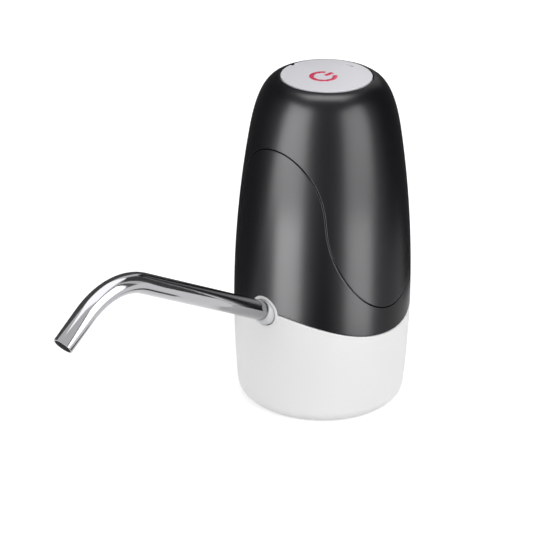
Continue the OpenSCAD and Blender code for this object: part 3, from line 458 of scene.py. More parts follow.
def even_steps(turn, run, steps):
    r, _ = skin_rz(run)
    gone = np.concatenate([[0], np.cumsum(np.hypot(np.diff(turn) * (r[1:] + r[:-1]) / 2, np.diff(run)))])
    marks = np.linspace(0, gone[-1], steps + 1)
    return np.interp(marks, gone, turn), np.interp(marks, gone, run)


heights = np.linspace(TONGUE_Z - TONGUE_DROP, SHOULDER_Z + SEAM_ABOVE, SEAM_SAMPLES)
inside = tongue_x(heights) <= skin_rz(run_at(heights))[0]
heights = heights[inside][::-1]
turns = np.arccos(np.clip(tongue_x(heights) / skin_rz(run_at(heights))[0], 0, 1))
turns[0] = 0.0
seam = all_round(*even_steps(turns, run_at(heights), QUARTER))


def base_edge(turn):
    """The bowl line at these turns; its height depends on the radius, which depends on the height."""
    z = np.full_like(turn, WIDEST_Z)
    for _ in range(12):
        z = EDGE_MIDDLE - np.sqrt(EDGE_ARC ** 2 - (side_radius(z) * np.cos(turn)) ** 2)
    return turn, run_at(z)


print("seam top at", round(float(heights[0]), 2), "mm, seam columns:", COLUMNS)

# %% [markdown]
# A moulded edge is never as sharp as a knife. Each shell ends in a lip that is rounded towards the gap,
# and that fine round makes a seam read as a dark line with a bright rim. These helpers move a line aside
# within the skin, sink it below the surface, and fill the skin between two lines with loops.

# %% Lips and strips of skin
SEAM_GAP, EDGE_ROUND = 0.3, 0.28


def moved(line, aside):
    """The line moved within the skin: up for a positive number, down for a negative one."""
    turn, run = line
    r, _ = skin_rz(run)
    ahead, behind = np.roll(turn, -1), np.roll(turn, 1)
    du = r * ((ahead - behind + math.pi) % (2 * math.pi) - math.pi)
    dv = np.roll(run, -1) - np.roll(run, 1)
    size = np.hypot(du, dv)
    return turn - aside * dv / size / r, run + aside * du / size


def lip(line, side, depth):
    """One loop on the wall of a gap: side is 1 above the line and -1 below it."""
    return on_skin(*moved(line, side * SEAM_GAP / 2), depth)


def rounded_lip(line, side, steps=5):
    """Loops from the wall of a gap over its rounded edge onto the skin."""
    loops = []
    for a in np.linspace(0, math.pi / 2, steps):
        aside = SEAM_GAP / 2 + EDGE_ROUND * (1 - math.cos(a))
        loops.append(on_skin(*moved(line, side * aside), EDGE_ROUND * (1 - math.sin(a))))
    return loops


def between(first, last, depth, steps):
    """Loops on the skin between two lines, without the two lines themselves."""
    (turn, run), (last_turn, last_run) = first, last
    shares = np.linspace(0, 1, steps + 2)[1:-1]
    return [on_skin(turn + (last_turn - turn) * t, run + (last_run - run) * t, depth) for t in shares]


even = even_turn(COLUMNS)
skin_start = SEAM_GAP / 2 + EDGE_ROUND
print("the plain skin starts", round(skin_start, 2), "mm from the middle of a gap")

# %% [markdown]
# The upper shell is the black cap with its two side tongues. Its loops start at the seam, run up the skin
# to the rim, over the rim's small round into the button well, along the ledge that carries the disc, and
# back down the inside. Columns stand straight up from the seam and spread evenly once they are above its
# highest point.

# %% Upper shell
WALL, OPENING_R = 2.0, 19.2
RIM_ROUND, LEDGE_TOP, LEDGE_LOW, LEDGE_HOLE, WELL_R = 0.4, 137.0, 135.0, 15.0, 21.2
rim_run, free_run = float(length[-1]), float(run_at(SHOULDER_Z + 2))


def spread(turn, run):
    """Turns that leave the seam's spacing for an even one between the shoulder and the rim."""
    t = np.clip((run - free_run) / (rim_run - free_run), 0, 1)
    return turn + (even - turn) * t * t * (3 - 2 * t)


def up_the_skin(low, high_run, depth, shares):
    loops = []
    for t in shares:
        run = low[1] + (high_run - low[1]) * t
        loops.append(on_skin(spread(low[0], run), run, depth))
    return loops


inner_r, _ = skin_rz(length, WALL)
crown_part = length > free_run
meet_run = float(np.interp(-WELL_R, -inner_r[crown_part], length[crown_part]))
low = moved(seam, skin_start)
loops = rounded_lip(seam, 1) + up_the_skin(low, rim_run, 0.0, np.linspace(0, 1, 110)[1:])
well = arc(RIM_R, RIM_Z - RIM_ROUND, RIM_ROUND, 90, 180)[1:]
well += [(OPENING_R, LEDGE_TOP), (LEDGE_HOLE, LEDGE_TOP), (LEDGE_HOLE, LEDGE_LOW), (WELL_R, LEDGE_LOW)]
loops += [circle(r, z, even) for r, z in well]
loops += up_the_skin(low, meet_run, WALL, np.linspace(1, 0, 60)) + [lip(seam, 1, WALL)]
upper_shell = stack("upper_shell_piece", loops)


print("upper shell has", len(loops), "loops")

# %% [markdown]
# The upper shell's small features come next. At the back is a slot for the charging port. In the well a
# round rib keys the disc, so that its sign stands the right way, and under the ledge three bosses take
# the board's screws. A cut or a joined piece runs a little past the face that it meets, so that no two
# faces lie in one plane.

# %% Charging port, key rib and screw bosses
OVER = 1.0
PORT_MOUTH, PORT_Z, PORT_WIDE, PORT_HIGH, PORT_DEEP, PORT_OUT = -28.6, 130.2, 9.6, 3.8, 17.0, 9.0
KEY_R, KEY_TOP = 0.85, 142.6
BOSS_R, BOSS_LOW, BOSS_AT, BOSS_HOLE, HOLE_TOP = 2.5, 128.6, 18.0, 1.04, 135.1


def pill(name, wide, high, deep, columns=24):
    """A bar with round sides, along X from 0 to deep, wide along Y and high along Z."""
    turn = np.linspace(-math.pi / 2, math.pi / 2, columns)
    half, r = (wide - high) / 2, high / 2
    y = np.concatenate([half + r * np.cos(turn), -half - r * np.cos(turn)])
    z = np.concatenate([r * np.sin(turn), -r * np.sin(turn)])
    return stack(name, [np.column_stack([np.full_like(y, x), y, z]) for x in (0.0, deep)], joined=False)


def rod(name, r, low, high, place, columns=48):
    """A round bar from low to high along the Z axis of a place."""
    return placed(lathe(name, [(r, low), (r, high)], columns, joined=False), place)


key_place = Matrix.Translation((0, -OPENING_R, 0))
combine(upper_shell, rod("key_rib", KEY_R, LEDGE_TOP - OVER, KEY_TOP, key_place), "UNION")
for third in range(3):
    a = third * math.tau / 3
    spot = Matrix.Translation((BOSS_AT * math.cos(a), BOSS_AT * math.sin(a), 0))
    combine(upper_shell, rod("screw_boss", BOSS_R, BOSS_LOW, LEDGE_LOW + OVER, spot), "UNION")
    combine(upper_shell, rod("screw_hole", BOSS_HOLE, BOSS_LOW - OVER, HOLE_TOP, spot), "DIFFERENCE")
port_slot = pill("port_slot", PORT_WIDE, PORT_HIGH, PORT_DEEP)
placed(port_slot, Matrix.Translation((PORT_MOUTH - PORT_OUT, 0, PORT_Z)))
combine(upper_shell, port_slot, "DIFFERENCE")
stand_for(upper_shell, "upper_shell", "black_shell", "housing")

# %% [markdown]
# The lower shell is the black band between the seam and the white base. It has a lip behind each of its
# edges that reaches under its neighbours, as moulded casings have, so no light comes through the gaps. A
# round cut at the front leaves room for the white boss that holds the spout.

# %% Lower shell
LIP_FRONT, LIP_BACK, LIP_REACH = 2.15, 3.35, 4.0
SPOUT_X, SPOUT_Z, SPOUT_RISE = float(side_radius(49.5)), 49.5, math.radians(28)
BALL_AT, BALL_R, BOSS_RING = -1.45, 5.5, 7.15
BOSS_PLAY, ROOM_BACK, ROOM_FRONT = 0.12, 20.0, 45.0
ball_x = SPOUT_X + BALL_AT * math.cos(SPOUT_RISE)
ball_z = SPOUT_Z + BALL_AT * math.sin(SPOUT_RISE)
edge = base_edge(seam[0])
loops = rounded_lip(edge, 1) + between(moved(edge, skin_start), moved(seam, -skin_start), 0.0, 90)
loops += rounded_lip(seam, -1)[::-1] + [lip(seam, -1, LIP_FRONT)]
loops += [on_skin(*moved(seam, LIP_REACH), LIP_FRONT), on_skin(*moved(seam, LIP_REACH), LIP_BACK)]
loops += between(moved(seam, LIP_REACH), moved(edge, -LIP_REACH), LIP_BACK, 50)
loops += [on_skin(*moved(edge, -LIP_REACH), LIP_BACK), on_skin(*moved(edge, -LIP_REACH), LIP_FRONT)]
loops += [lip(edge, 1, LIP_FRONT)]
lower_shell = stack("lower_shell_piece", loops)
along_x = Matrix.Translation((0, 0, ball_z)) @ Matrix.Rotation(math.pi / 2, 4, "Y")
boss_room = rod("boss_room", BOSS_RING + BOSS_PLAY, ROOM_BACK, ROOM_FRONT, along_x, 96)
combine(lower_shell, boss_room, "DIFFERENCE")
stand_for(lower_shell, "lower_shell", "black_shell", "housing")

# %% [markdown]
# The white base goes on from the bowl line down to the rounded foot, turns into the deep socket that the
# pump stands on, up to the seal's seat and into the well over the hose nipple, and comes back inside.

# %% White base
SOCKET_R, NECK_DEPTH, SEAL_R, SEAL_IN, SEAL_TOP = 28.0, 26.0, 27.5, 20.0, 28.0
HOSE_R, HOSE_TOP, HOSE_WALL, SHANK_HOLE = 16.0, 38.0, 2.0, 5.1
FLOOR_TOP, SOCKET_OUT, TRENCH_Z = 31.0, 30.0, 5.0
MOUTH_ROUND = 0.3
edge = base_edge(even)
foot_line = (even, np.zeros(COLUMNS))
trench_line = (even, np.full(COLUMNS, float(run_at(TRENCH_Z))))
loops = rounded_lip(edge, -1) + between(moved(edge, -skin_start), foot_line, 0.0, 90)
under = [(foot_x, 0.0)] + arc(SOCKET_R + MOUTH_ROUND, MOUTH_ROUND, MOUTH_ROUND, 270, 180)
under += [(SOCKET_R, NECK_DEPTH), (SEAL_R, NECK_DEPTH), (SEAL_R, SEAL_TOP)]
under += [(SEAL_IN, SEAL_TOP), (SEAL_IN, NECK_DEPTH)]
under += arc(HOSE_R + MOUTH_ROUND, NECK_DEPTH + MOUTH_ROUND, MOUTH_ROUND, 270, 180)
under += [(HOSE_R, HOSE_TOP), (SHANK_HOLE, HOSE_TOP), (SHANK_HOLE, HOSE_TOP + HOSE_WALL)]
under += [(HOSE_R + HOSE_WALL, HOSE_TOP + HOSE_WALL), (HOSE_R + HOSE_WALL, FLOOR_TOP)]
under += [(SOCKET_OUT, FLOOR_TOP), (SOCKET_OUT, TRENCH_Z)]
loops += [circle(r, z, even) for r, z in under]
loops += [on_skin(*trench_line, WALL)] + between(trench_line, moved(edge, -SEAM_GAP / 2), WALL, 40)
loops += [lip(edge, -1, WALL)]
base_shell = stack("base_shell_piece", loops)
print("white base has", len(loops), "loops")

# %% [markdown]
# At the front the base grows a round boss. The spout's ball sits in the boss's mouth, and a slanted hole
# behind it leads inside. The slanted hole would break out through the boss's rim, so its front part is
# cut off first, and the straight mouth takes over there. In the floor are six seats for screws, wide for
# the head and narrow for the shank.

# %% Boss, mouth and screw seats
BOSS_BACK, BOSS_FRONT, BEAD = SPOUT_X - 3.2, ball_x + 0.9, 0.3
BALL_HOLE, HOLE_BACK, HOLE_FRONT = 5.75, -9.2, 4.0
MOUTH_BACK, MOUTH_X, MOUTH_OVER = ball_x - 0.4, ball_x + 0.4, 3.0
KEEP_R, KEEP_LONG = 20.0, 30.0
SCREW_R, HEAD_R, HEAD_TOP = 1.3, 2.5, 29.8
SCREW_PLACES = ((17, 17), (-17, 17), (-17, -17), (17, -17), (22, 10), (22, -10))
ring = [(0.0, BOSS_BACK), (BOSS_RING, BOSS_BACK)]
ring += arc(BOSS_RING - BEAD, BOSS_FRONT - BEAD, BEAD, 0, 90, 9) + [(0.0, BOSS_FRONT)]
combine(base_shell, placed(lathe("boss", ring, 128, joined=False), along_x), "UNION")
to_spout = Matrix.Translation((SPOUT_X, 0, SPOUT_Z)) @ Matrix.Rotation(math.pi / 2 - SPOUT_RISE, 4, "Y")
hole = rod("slanted_hole", BALL_HOLE, HOLE_BACK, HOLE_FRONT, to_spout, 96)
keep = rod("keep_mouth", KEEP_R, MOUTH_X, MOUTH_X + KEEP_LONG, along_x, 8)
combine(base_shell, combine(hole, keep, "DIFFERENCE"), "DIFFERENCE")
mouth = [(0.0, MOUTH_BACK), (BALL_HOLE, MOUTH_BACK)]
mouth += arc(BALL_HOLE + BEAD, BOSS_FRONT - BEAD, BEAD, 180, 90, 9)
mouth += [(BALL_HOLE + BEAD, BOSS_FRONT + MOUTH_OVER), (0.0, BOSS_FRONT + MOUTH_OVER)]
combine(base_shell, placed(lathe("mouth_cut", mouth, 128, joined=False), along_x), "DIFFERENCE")
seat = [(HEAD_R, SEAL_TOP - OVER), (HEAD_R, HEAD_TOP), (SCREW_R, HEAD_TOP), (SCREW_R, FLOOR_TOP + OVER)]
for x, y in SCREW_PLACES:
    screw_seat = placed(lathe("screw_seat", seat, 32, joined=False), Matrix.Translation((x, y, 0)))
    combine(base_shell, screw_seat, "DIFFERENCE")
stand_for(base_shell, "base_shell", "white_base", "housing")

# %% [markdown]
# The disc carries a power sign and a small window, both light guides set flush into pockets, so a
# hairline shows round them as on the real one. The sign is an open ring and a bar, swept with one section
# that is rounded at the top. Each shape is made twice: as the inlay itself and, a little larger and
# taller, as the tool that cuts its pocket. A leg of the disc is a section carried round a short arc, with
# a hook at its foot.

# %% Shapes of the sign, the window and a leg
DISC_TOP, DISC_LOW = 143.299, 140.4
SIGN_X, SIGN_R, SIGN_STROKE, SIGN_GAP, SIGN_ROUND = 2.0, 5.8, 1.9, math.radians(62), 0.12
WINDOW_X, WINDOW_LONG, WINDOW_WIDE = -15.0, 4.0, 1.2
INLAY, POCKET, POCKET_OVER = 2.0, 0.05, 0.5
LEG_R, LEG_WALL, LEG_HALF, LEG_LAP = 14.6, 1.4, math.radians(11), 0.5
HOOK_REACH, HOOK_LOW, HOOK_TOP = 1.4, 133.0, 134.8


def bar_section(grow):
    """The sign's closed section (sideways, up): square below, with two rounded top edges."""
    half, low = SIGN_STROKE / 2 + grow, DISC_TOP - INLAY - grow
    top = DISC_TOP + (POCKET_OVER if grow else 0.0)
    left = arc(-half + SIGN_ROUND, top - SIGN_ROUND, SIGN_ROUND, 180, 90, 4)
    right = arc(half - SIGN_ROUND, top - SIGN_ROUND, SIGN_ROUND, 90, 0, 4)
    return [(-half, low)] + left + right + [(half, low)]


def sign_ring(name, grow=0.0):
    first, last = math.pi + SIGN_GAP / 2, 3 * math.pi - SIGN_GAP / 2
    pad = grow / SIGN_R
    middle = SIGN_R - SIGN_STROKE / 2
    rows = []
    for a in np.linspace(first - pad, last + pad, 96):
        rows.append([(SIGN_X + (middle + u) * math.cos(a), (middle + u) * math.sin(a), z)
                     for u, z in bar_section(grow)])
    return stack(name, rows, joined=False)


def sign_bar(name, grow=0.0):
    tip, root = SIGN_X - SIGN_R - grow, SIGN_X - (SIGN_R - SIGN_STROKE) / 3 + grow
    rows = [[(x, u, z) for u, z in bar_section(grow)] for x in (tip, root)]
    return stack(name, rows, joined=False)


def window_pill(name, grow=0.0):
    deep = INLAY + grow + (POCKET_OVER if grow else 0.0)
    piece = pill(name, WINDOW_LONG + 2 * grow, WINDOW_WIDE + 2 * grow, deep)
    place = Matrix.Translation((WINDOW_X, 0, DISC_TOP - INLAY - grow))
    return placed(piece, place @ Matrix.Rotation(-math.pi / 2, 4, "Y"))


def hooked_leg(name, turn):
    """A springy leg of the disc, with a hook that holds it under the ledge."""
    inner, hook, top = LEG_R - LEG_WALL, LEG_R + HOOK_REACH, DISC_LOW + LEG_LAP
    section = [(inner, HOOK_LOW), (hook, HOOK_LOW), (hook, HOOK_TOP),
               (LEG_R, HOOK_TOP), (LEG_R, top), (inner, top)]
    rows = [[(r * math.cos(a), r * math.sin(a), z) for r, z in section]
            for a in np.linspace(turn - LEG_HALF, turn + LEG_HALF, 8)]
    return stack(name, rows, joined=False)


print("sign is", 2 * SIGN_R, "mm wide in strokes of", SIGN_STROKE, "mm")

# %% [markdown]
# The push disc is turned from one outline: a flat top with a fine rounded edge, a skirt that guides it in
# the well and a stem for the switch. Three hooked legs keep it from lifting out, and a notch runs on the
# well's key rib.

# %% Push disc, power sign and charge window
DISC_R, DISC_ROUND = 18.8, 0.22
SKIRT_R, SKIRT_IN, SKIRT_LOW, STEM_R, STEM_LOW = 18.7, 17.1, 137.83, 2.5, 133.2
NOTCH_R, NOTCH_AT = 1.25, 18.5
disc = [(0.0, DISC_TOP)] + arc(DISC_R - DISC_ROUND, DISC_TOP - DISC_ROUND, DISC_ROUND, 90, 0)
disc += [(DISC_R, DISC_LOW), (SKIRT_R, DISC_LOW), (SKIRT_R, SKIRT_LOW), (SKIRT_IN, SKIRT_LOW)]
disc += [(SKIRT_IN, DISC_LOW), (STEM_R, DISC_LOW), (STEM_R, STEM_LOW), (0.0, STEM_LOW)]
power_button = lathe("power_button_piece", disc, 256, joined=False)
notch_place = Matrix.Translation((0, -NOTCH_AT, 0))
key_notch = rod("key_notch", NOTCH_R, SKIRT_LOW - OVER, DISC_TOP + OVER, notch_place)
combine(power_button, key_notch, "DIFFERENCE")
for degrees in (60, 180, 300):
    combine(power_button, hooked_leg("leg", math.radians(degrees)), "UNION")
for make, name in ((sign_ring, "ring_pocket"), (sign_bar, "bar_pocket"), (window_pill, "window_pocket")):
    combine(power_button, make(name, POCKET), "DIFFERENCE")
stand_for(power_button, "power_button", "silver_disc", "button")
power_icon = combine(sign_ring("power_icon_piece"), sign_bar("bar"), "UNION")
stand_for(power_icon, "power_icon", "red_light", "button")
stand_for(window_pill("charge_window_piece"), "charge_window", "pale_light", "button")

# %% [markdown]
# The collar is a ball on a short neck with a flange behind. The ball lets the spout turn in the boss's
# mouth. It is turned about the spout's own slanted axis from one outline, which runs straight into the
# bore where the tube comes out. Two grooves in it hold O-rings: one outside, against the socket, and one
# inside, against the tube.

# %% Ball collar
NECK_R, FLANGE_R, FLANGE_BACK, FLANGE_FRONT = 5.0, 6.5, -15.2, -9.2
TUBE_R, TUBE_WALL, TUBE_BACK, TUBE_SEAT, TUBE_PLAY = 4.2, 0.5, -12.6, -12.8, 0.04
SWIVEL_GROOVE, TUBE_GROOVE = (5.46, -14.5, -13.3), (5.28, -10.1, -11.3)
bore, through = TUBE_R + TUBE_PLAY, TUBE_R - 2 * TUBE_WALL
exit_turn = math.degrees(math.asin(bore / BALL_R))
neck_turn = math.degrees(math.asin(NECK_R / BALL_R))
ball = [(BALL_R * math.sin(math.radians(a)), BALL_AT + BALL_R * math.cos(math.radians(a)))
        for a in np.linspace(180 - neck_turn, exit_turn, 40)]


def groove(wall_r, floor_r, first, last):
    """The four corners of a groove for an O-ring in a round wall."""
    return [(wall_r, first), (floor_r, first), (floor_r, last), (wall_r, last)]


collar = [(through, FLANGE_BACK), (FLANGE_R, FLANGE_BACK)] + groove(FLANGE_R, *SWIVEL_GROOVE)
collar += [(FLANGE_R, FLANGE_FRONT), (NECK_R, FLANGE_FRONT)] + ball
collar += groove(bore, *TUBE_GROOVE) + [(bore, TUBE_SEAT), (through, TUBE_SEAT)]
spout_collar = placed(lathe("spout_collar_piece", collar, 128), to_spout)
stand_for(spout_collar, "spout_collar", "grey_collar", "swivel")

# %% [markdown]
# The spout is a tube that follows a path, which is what Geometry Nodes are for. The object starts as a
# wire of three points: the tube's inner end, the corner where its two straights would meet, and the tip.
# The tree rounds the corner with Fillet Curve and sweeps a circle along it. It also stores how far along
# and which way round each point is, for the drawn lines of the steel.

# %% A tree that sweeps a tube
BEND_STEPS, ROUND_STEPS = 48, 96


def sweep_tree():
    tree = bpy.data.node_groups.new("tube_along_path", "GeometryNodeTree")
    face = tree.interface
    face.new_socket("Geometry", in_out="INPUT", socket_type="NodeSocketGeometry")
    sizes = {}
    for name in ("Tube Radius", "Bend Radius"):
        sizes[name] = face.new_socket(name, in_out="INPUT", socket_type="NodeSocketFloat").identifier
    finish_socket = face.new_socket("Finish", in_out="INPUT", socket_type="NodeSocketMaterial")
    sizes["Finish"] = finish_socket.identifier
    face.new_socket("Geometry", in_out="OUTPUT", socket_type="NodeSocketGeometry")

    def add(kind, settings=None, **inputs):
        made = tree.nodes.new(kind)
        for key, value in (settings or {}).items():
            setattr(made, key, value)
        for key, value in inputs.items():
            socket = made.inputs[key.replace("_", " ")]
            if isinstance(value, bpy.types.NodeSocket):
                tree.links.new(value, socket)
            else:
                socket.default_value = value
        return made.outputs

    given = add("NodeGroupInput")
    wire = add("GeometryNodeMeshToCurve", Mesh=given["Geometry"])["Curve"]
    bent = add("GeometryNodeFilletCurve", {"mode": "POLY"}, Curve=wire, Count=BEND_STEPS,
               Radius=given["Bend Radius"], Limit_Radius=True)["Curve"]
    run = add("GeometryNodeSplineParameter")["Length"]
    path = add("GeometryNodeStoreNamedAttribute", {"data_type": "FLOAT", "domain": "POINT"}, Geometry=bent,
               Name="along", Value=run)["Geometry"]
    ring_curve = add("GeometryNodeCurvePrimitiveCircle", Resolution=ROUND_STEPS,
                     Radius=given["Tube Radius"])["Curve"]
    where = add("GeometryNodeInputPosition")["Position"]
    section = add("GeometryNodeStoreNamedAttribute", {"data_type": "FLOAT_VECTOR", "domain": "POINT"},
                  Geometry=ring_curve, Name="across", Value=where)["Geometry"]
    tube = add("GeometryNodeCurveToMesh", Curve=path, Profile_Curve=section)["Mesh"]
    smooth = add("GeometryNodeSetShadeSmooth", Geometry=tube)["Geometry"]
    real = add("GeometryNodeRealizeInstances", Geometry=smooth)["Geometry"]
    dressed = add("GeometryNodeSetMaterial", Geometry=real, Material=given["Finish"])["Geometry"]
    add("NodeGroupOutput", Geometry=dressed)
    return tree, sizes


tree, sizes = sweep_tree()
print("inputs of the tree:", list(sizes))

# %% [markdown]
# The spout runs straight out of the ball, bends once and ends in a short straight. Solidify gives the
# swept skin its wall, with a duller metal on the inside whose dark colour is painted shade in the bore,
# and Bevel softens the two lips. The result is kept as a plain mesh, and the bore's faces get their own
# finish back after the piece has been handed over.

# %% Spout tube
SPOUT_RUN, BEND_R, BEND_ANGLE, SPOUT_END = 79.5, 30.0, math.radians(64), 15.0
TUBE_LIP, TUBE_LIP_ANGLE = 0.15, math.radians(40)


def wire_object(name, points):
    mesh = bpy.data.meshes.new(name)
    mesh.from_pydata([Vector(p) * MM for p in points], [(i, i + 1) for i in range(len(points) - 1)], [])
    piece = bpy.data.objects.new(name, mesh)
    bpy.context.scene.collection.objects.link(piece)
    return piece


tangent = BEND_R * math.tan(BEND_ANGLE / 2)
corner = SPOUT_RUN + tangent
far = tangent + SPOUT_END
wire_points = [(0, 0, TUBE_BACK), (0, 0, corner),
               (far * math.sin(BEND_ANGLE), 0, corner + far * math.cos(BEND_ANGLE))]
spout_tube = wire_object("spout_tube_piece", [to_spout @ Vector(p) for p in wire_points])
# The bore's metal is duller, and its dark colour is painted shade for the inside of the tube.
for metal in (FINISHES["stainless"], brushed("dull_bore_painted_shade", linear(58, 58, 60), 0.5, (300, 300, 300))):
    spout_tube.data.materials.append(metal)
sweep = spout_tube.modifiers.new("sweep", "NODES")
sweep.node_group = tree
sweep[sizes["Tube Radius"]] = TUBE_R * MM
sweep[sizes["Bend Radius"]] = BEND_R * MM
sweep[sizes["Finish"]] = FINISHES["stainless"]
wall = spout_tube.modifiers.new("wall", "SOLIDIFY")
wall.thickness, wall.offset, wall.use_even_offset, wall.material_offset = TUBE_WALL * MM, -1.0, True, 1
soft = spout_tube.modifiers.new("soft_lips", "BEVEL")
soft.width, soft.segments, soft.limit_method, soft.angle_limit = TUBE_LIP * MM, 3, "ANGLE", TUBE_LIP_ANGLE
bpy.context.view_layer.update()
tube_mesh = bpy.data.meshes.new_from_object(spout_tube.evaluated_get(bpy.context.evaluated_depsgraph_get()))
spout_tube.modifiers.clear()
spout_tube.data = tube_mesh
tube_mesh.set_sharp_from_angle(angle=SHARP)
layers = [face.material_index for face in tube_mesh.polygons]
stand_for(spout_tube, "spout_tube", "stainless", "spout")
tube_mesh.materials.append(bpy.data.materials["dull_bore_painted_shade"])
tube_mesh.polygons.foreach_set("material_index", layers)
print("faces of the bore:", sum(layers), "of", len(layers))

# %% [markdown]
# The neck seal is a soft washer at the top of the socket. Its face has three raised beads, which seal
# better than a flat one, and its edges are rounded as silicone parts are.

# %% Neck seal
SEAL_LOW, SEAL_INNER, SEAL_OUTER, BEAD_R = 26.0, 20.1, 27.4, 0.45
SEAL_SOFT, SEAL_BEADS = 0.35, (22.0, 23.75, 25.5)
face_z = SEAL_LOW + BEAD_R
seal = [(SEAL_INNER, SEAL_TOP - SEAL_SOFT), (SEAL_INNER, face_z + SEAL_SOFT)]
seal += arc(SEAL_INNER + SEAL_SOFT, face_z + SEAL_SOFT, SEAL_SOFT, 180, 270)[1:]
for bead in SEAL_BEADS:
    seal += arc(bead, face_z, BEAD_R, 180, 360, 9)
seal += arc(SEAL_OUTER - SEAL_SOFT, face_z + SEAL_SOFT, SEAL_SOFT, 270, 360)
seal += arc(SEAL_OUTER - SEAL_SOFT, SEAL_TOP - SEAL_SOFT, SEAL_SOFT, 0, 90)
seal += arc(SEAL_INNER + SEAL_SOFT, SEAL_TOP - SEAL_SOFT, SEAL_SOFT, 90, 180)[:-1]
stand_for(lathe("neck_gasket_piece", seal, 192), "neck_gasket", "pale_silicone", "housing")

# %% [markdown]
# The camera stands where the photographer stood: round to the spout's side, a little above, with a long
# lens from a metre away. The angles were found by fitting the body's outline. The small turns put the
# pump off centre as in the picture, and a slight roll matches its lean.

# %% Camera
IMAGE = 550
AZIMUTH, ELEVATION, ROLL = math.radians(130), math.radians(24.46), math.radians(1.16)
DISTANCE, FOCAL_PIXELS = 1.0, 2371.0
AIM, AIM_PIXEL = Vector((0, 0, 0.070)), (322.41, 237.41)


def camera_matrix():
    back = Vector((math.sin(AZIMUTH) * math.cos(ELEVATION),
                   -math.cos(AZIMUTH) * math.cos(ELEVATION), math.sin(ELEVATION)))
    right = Vector((math.cos(AZIMUTH), math.sin(AZIMUTH), 0))
    forward = -back
    up = right.cross(forward)
    yaw = math.atan((AIM_PIXEL[0] - IMAGE / 2) / FOCAL_PIXELS)
    pitch = math.atan((AIM_PIXEL[1] - IMAGE / 2) / FOCAL_PIXELS)
    turned = forward * math.cos(yaw) - right * math.sin(yaw)
    across = right * math.cos(yaw) + forward * math.sin(yaw)
    ahead = turned * math.cos(pitch) + up * math.sin(pitch)
    upward = up * math.cos(pitch) - turned * math.sin(pitch)
    x_axis = across * math.cos(ROLL) + upward * math.sin(ROLL)
    y_axis = upward * math.cos(ROLL) - across * math.sin(ROLL)
    turn = Matrix((x_axis, y_axis, -ahead)).transposed().to_4x4()
    return Matrix.Translation(AIM + back * DISTANCE) @ turn


lens = bpy.data.cameras.new("camera")
lens.sensor_width = 36.0
lens.lens = FOCAL_PIXELS * lens.sensor_width / IMAGE
camera = bpy.data.objects.new("camera", lens)
camera.matrix_world = camera_matrix()
bpy.context.scene.collection.objects.link(camera)
bpy.context.scene.camera = camera
print("camera at", [round(x, 3) for x in camera.location], "lens", round(lens.lens, 1))

# %% [markdown]
# The studio is a pale floor under a white room. What the camera and shiny surfaces see of floor and room
# is plain white, through the Light Path node, while the light that falls on the pump stays at a normal
# level. The floor adds a little glow to its matt white, so that it looks white and still shows the pump's
# shadow, and far off it fades to plain white, so that no horizon shows in a low view.

# %% Floor and room
FLOOR_GLOW, ROOM_LIGHT = 0.48, 0.30
FADE_FROM, FADE_TO, FLOOR_HALF = 0.5, 1.2, 6.0
WHITE = (1, 1, 1, 1)


def seen_rays(finish):
    path = finish.tree.nodes.new("ShaderNodeLightPath")
    names = ("Is Camera Ray", "Is Glossy Ray", "Is Transmission Ray")
    camera_ray, glossy_ray, clear_ray = (Wire(finish, path.outputs[name]) for name in names)
    return camera_ray + glossy_ray + clear_ray


def floor_finish():
    finish = Finish(bpy.data.materials.new("studio_floor"))
    speck = finish.noise(30, 2)
    matt = finish.node("ShaderNodeBsdfDiffuse", None,
                       {"Color": finish.mix(speck, (0.78, 0.78, 0.78, 1), (0.8, 0.8, 0.8, 1))})
    glow = finish.node("ShaderNodeEmission", None, {"Color": WHITE, "Strength": FLOOR_GLOW})
    near = finish.node("ShaderNodeAddShader", None, {0: matt, 1: glow})
    white = finish.node("ShaderNodeEmission", None, {"Color": WHITE, "Strength": 1.0})
    away = finish.node("ShaderNodeVectorMath", {"operation": "LENGTH"},
                       {0: finish.node("ShaderNodeTexCoord", out="Object")}, out="Value")
    fade = finish.node("ShaderNodeMapRange", {"interpolation_type": "SMOOTHSTEP"},
                       {"Value": away, "From Min": FADE_FROM, "From Max": FADE_TO})
    bright = finish.node("ShaderNodeMixShader", None, {0: fade, 1: near, 2: white})
    shown = finish.node("ShaderNodeMixShader", None, {0: seen_rays(finish), 1: matt, 2: bright})
    finish.node_output("ShaderNodeOutputMaterial", shown)
    return finish.owner


plane = bpy.data.meshes.new("studio_floor")
plane.from_pydata([(x * FLOOR_HALF, y * FLOOR_HALF, 0) for x, y in ((-1, -1), (1, -1), (1, 1), (-1, 1))], [],
                  [(0, 1, 2, 3)])
plane.materials.append(floor_finish())
ground = bpy.data.objects.new("studio_floor", plane)
bpy.context.scene.collection.objects.link(ground)
world = bpy.data.worlds.new("studio_room")
bpy.context.scene.world = world
room = Finish(world)
seen = room.node("ShaderNodeBackground", None, {"Color": WHITE, "Strength": 1.0})
lit = room.node("ShaderNodeBackground", None, {"Color": WHITE, "Strength": ROOM_LIGHT})
both = room.node("ShaderNodeMixShader", None, {0: seen_rays(room), 1: lit, 2: seen})
room.node_output("ShaderNodeOutputWorld", both)
print("floor is", 2 * FLOOR_HALF, "m wide")

# %% [markdown]
# Black satin plastic and polished steel are shaped by what they mirror, so the studio is built for its
# reflections. Two tall softboxes, left and right of the camera, draw the long soft highlights on the
# black shells. The lower body mirrors what stands low, so each has a low box close to the wall, and a box
# behind lights the back. One overhead lights the crown. These boxes are much stronger than the rest,
# because the black plastic mirrors so little. The steel has weaker ones, since it mirrors so much more.
# Light linking keeps each set to its own pieces. They are for gloss alone, and broad soft lamps that
# gloss does not see give the even light. The shells do not mirror the spout. Azimuths are in degrees to
# the right of the camera.

# %% A lamp and where it stands
UP = Vector((0, 0, 1))


def direction(azimuth):
    a = AZIMUTH + math.radians(azimuth)
    return Vector((math.sin(a), -math.cos(a), 0))


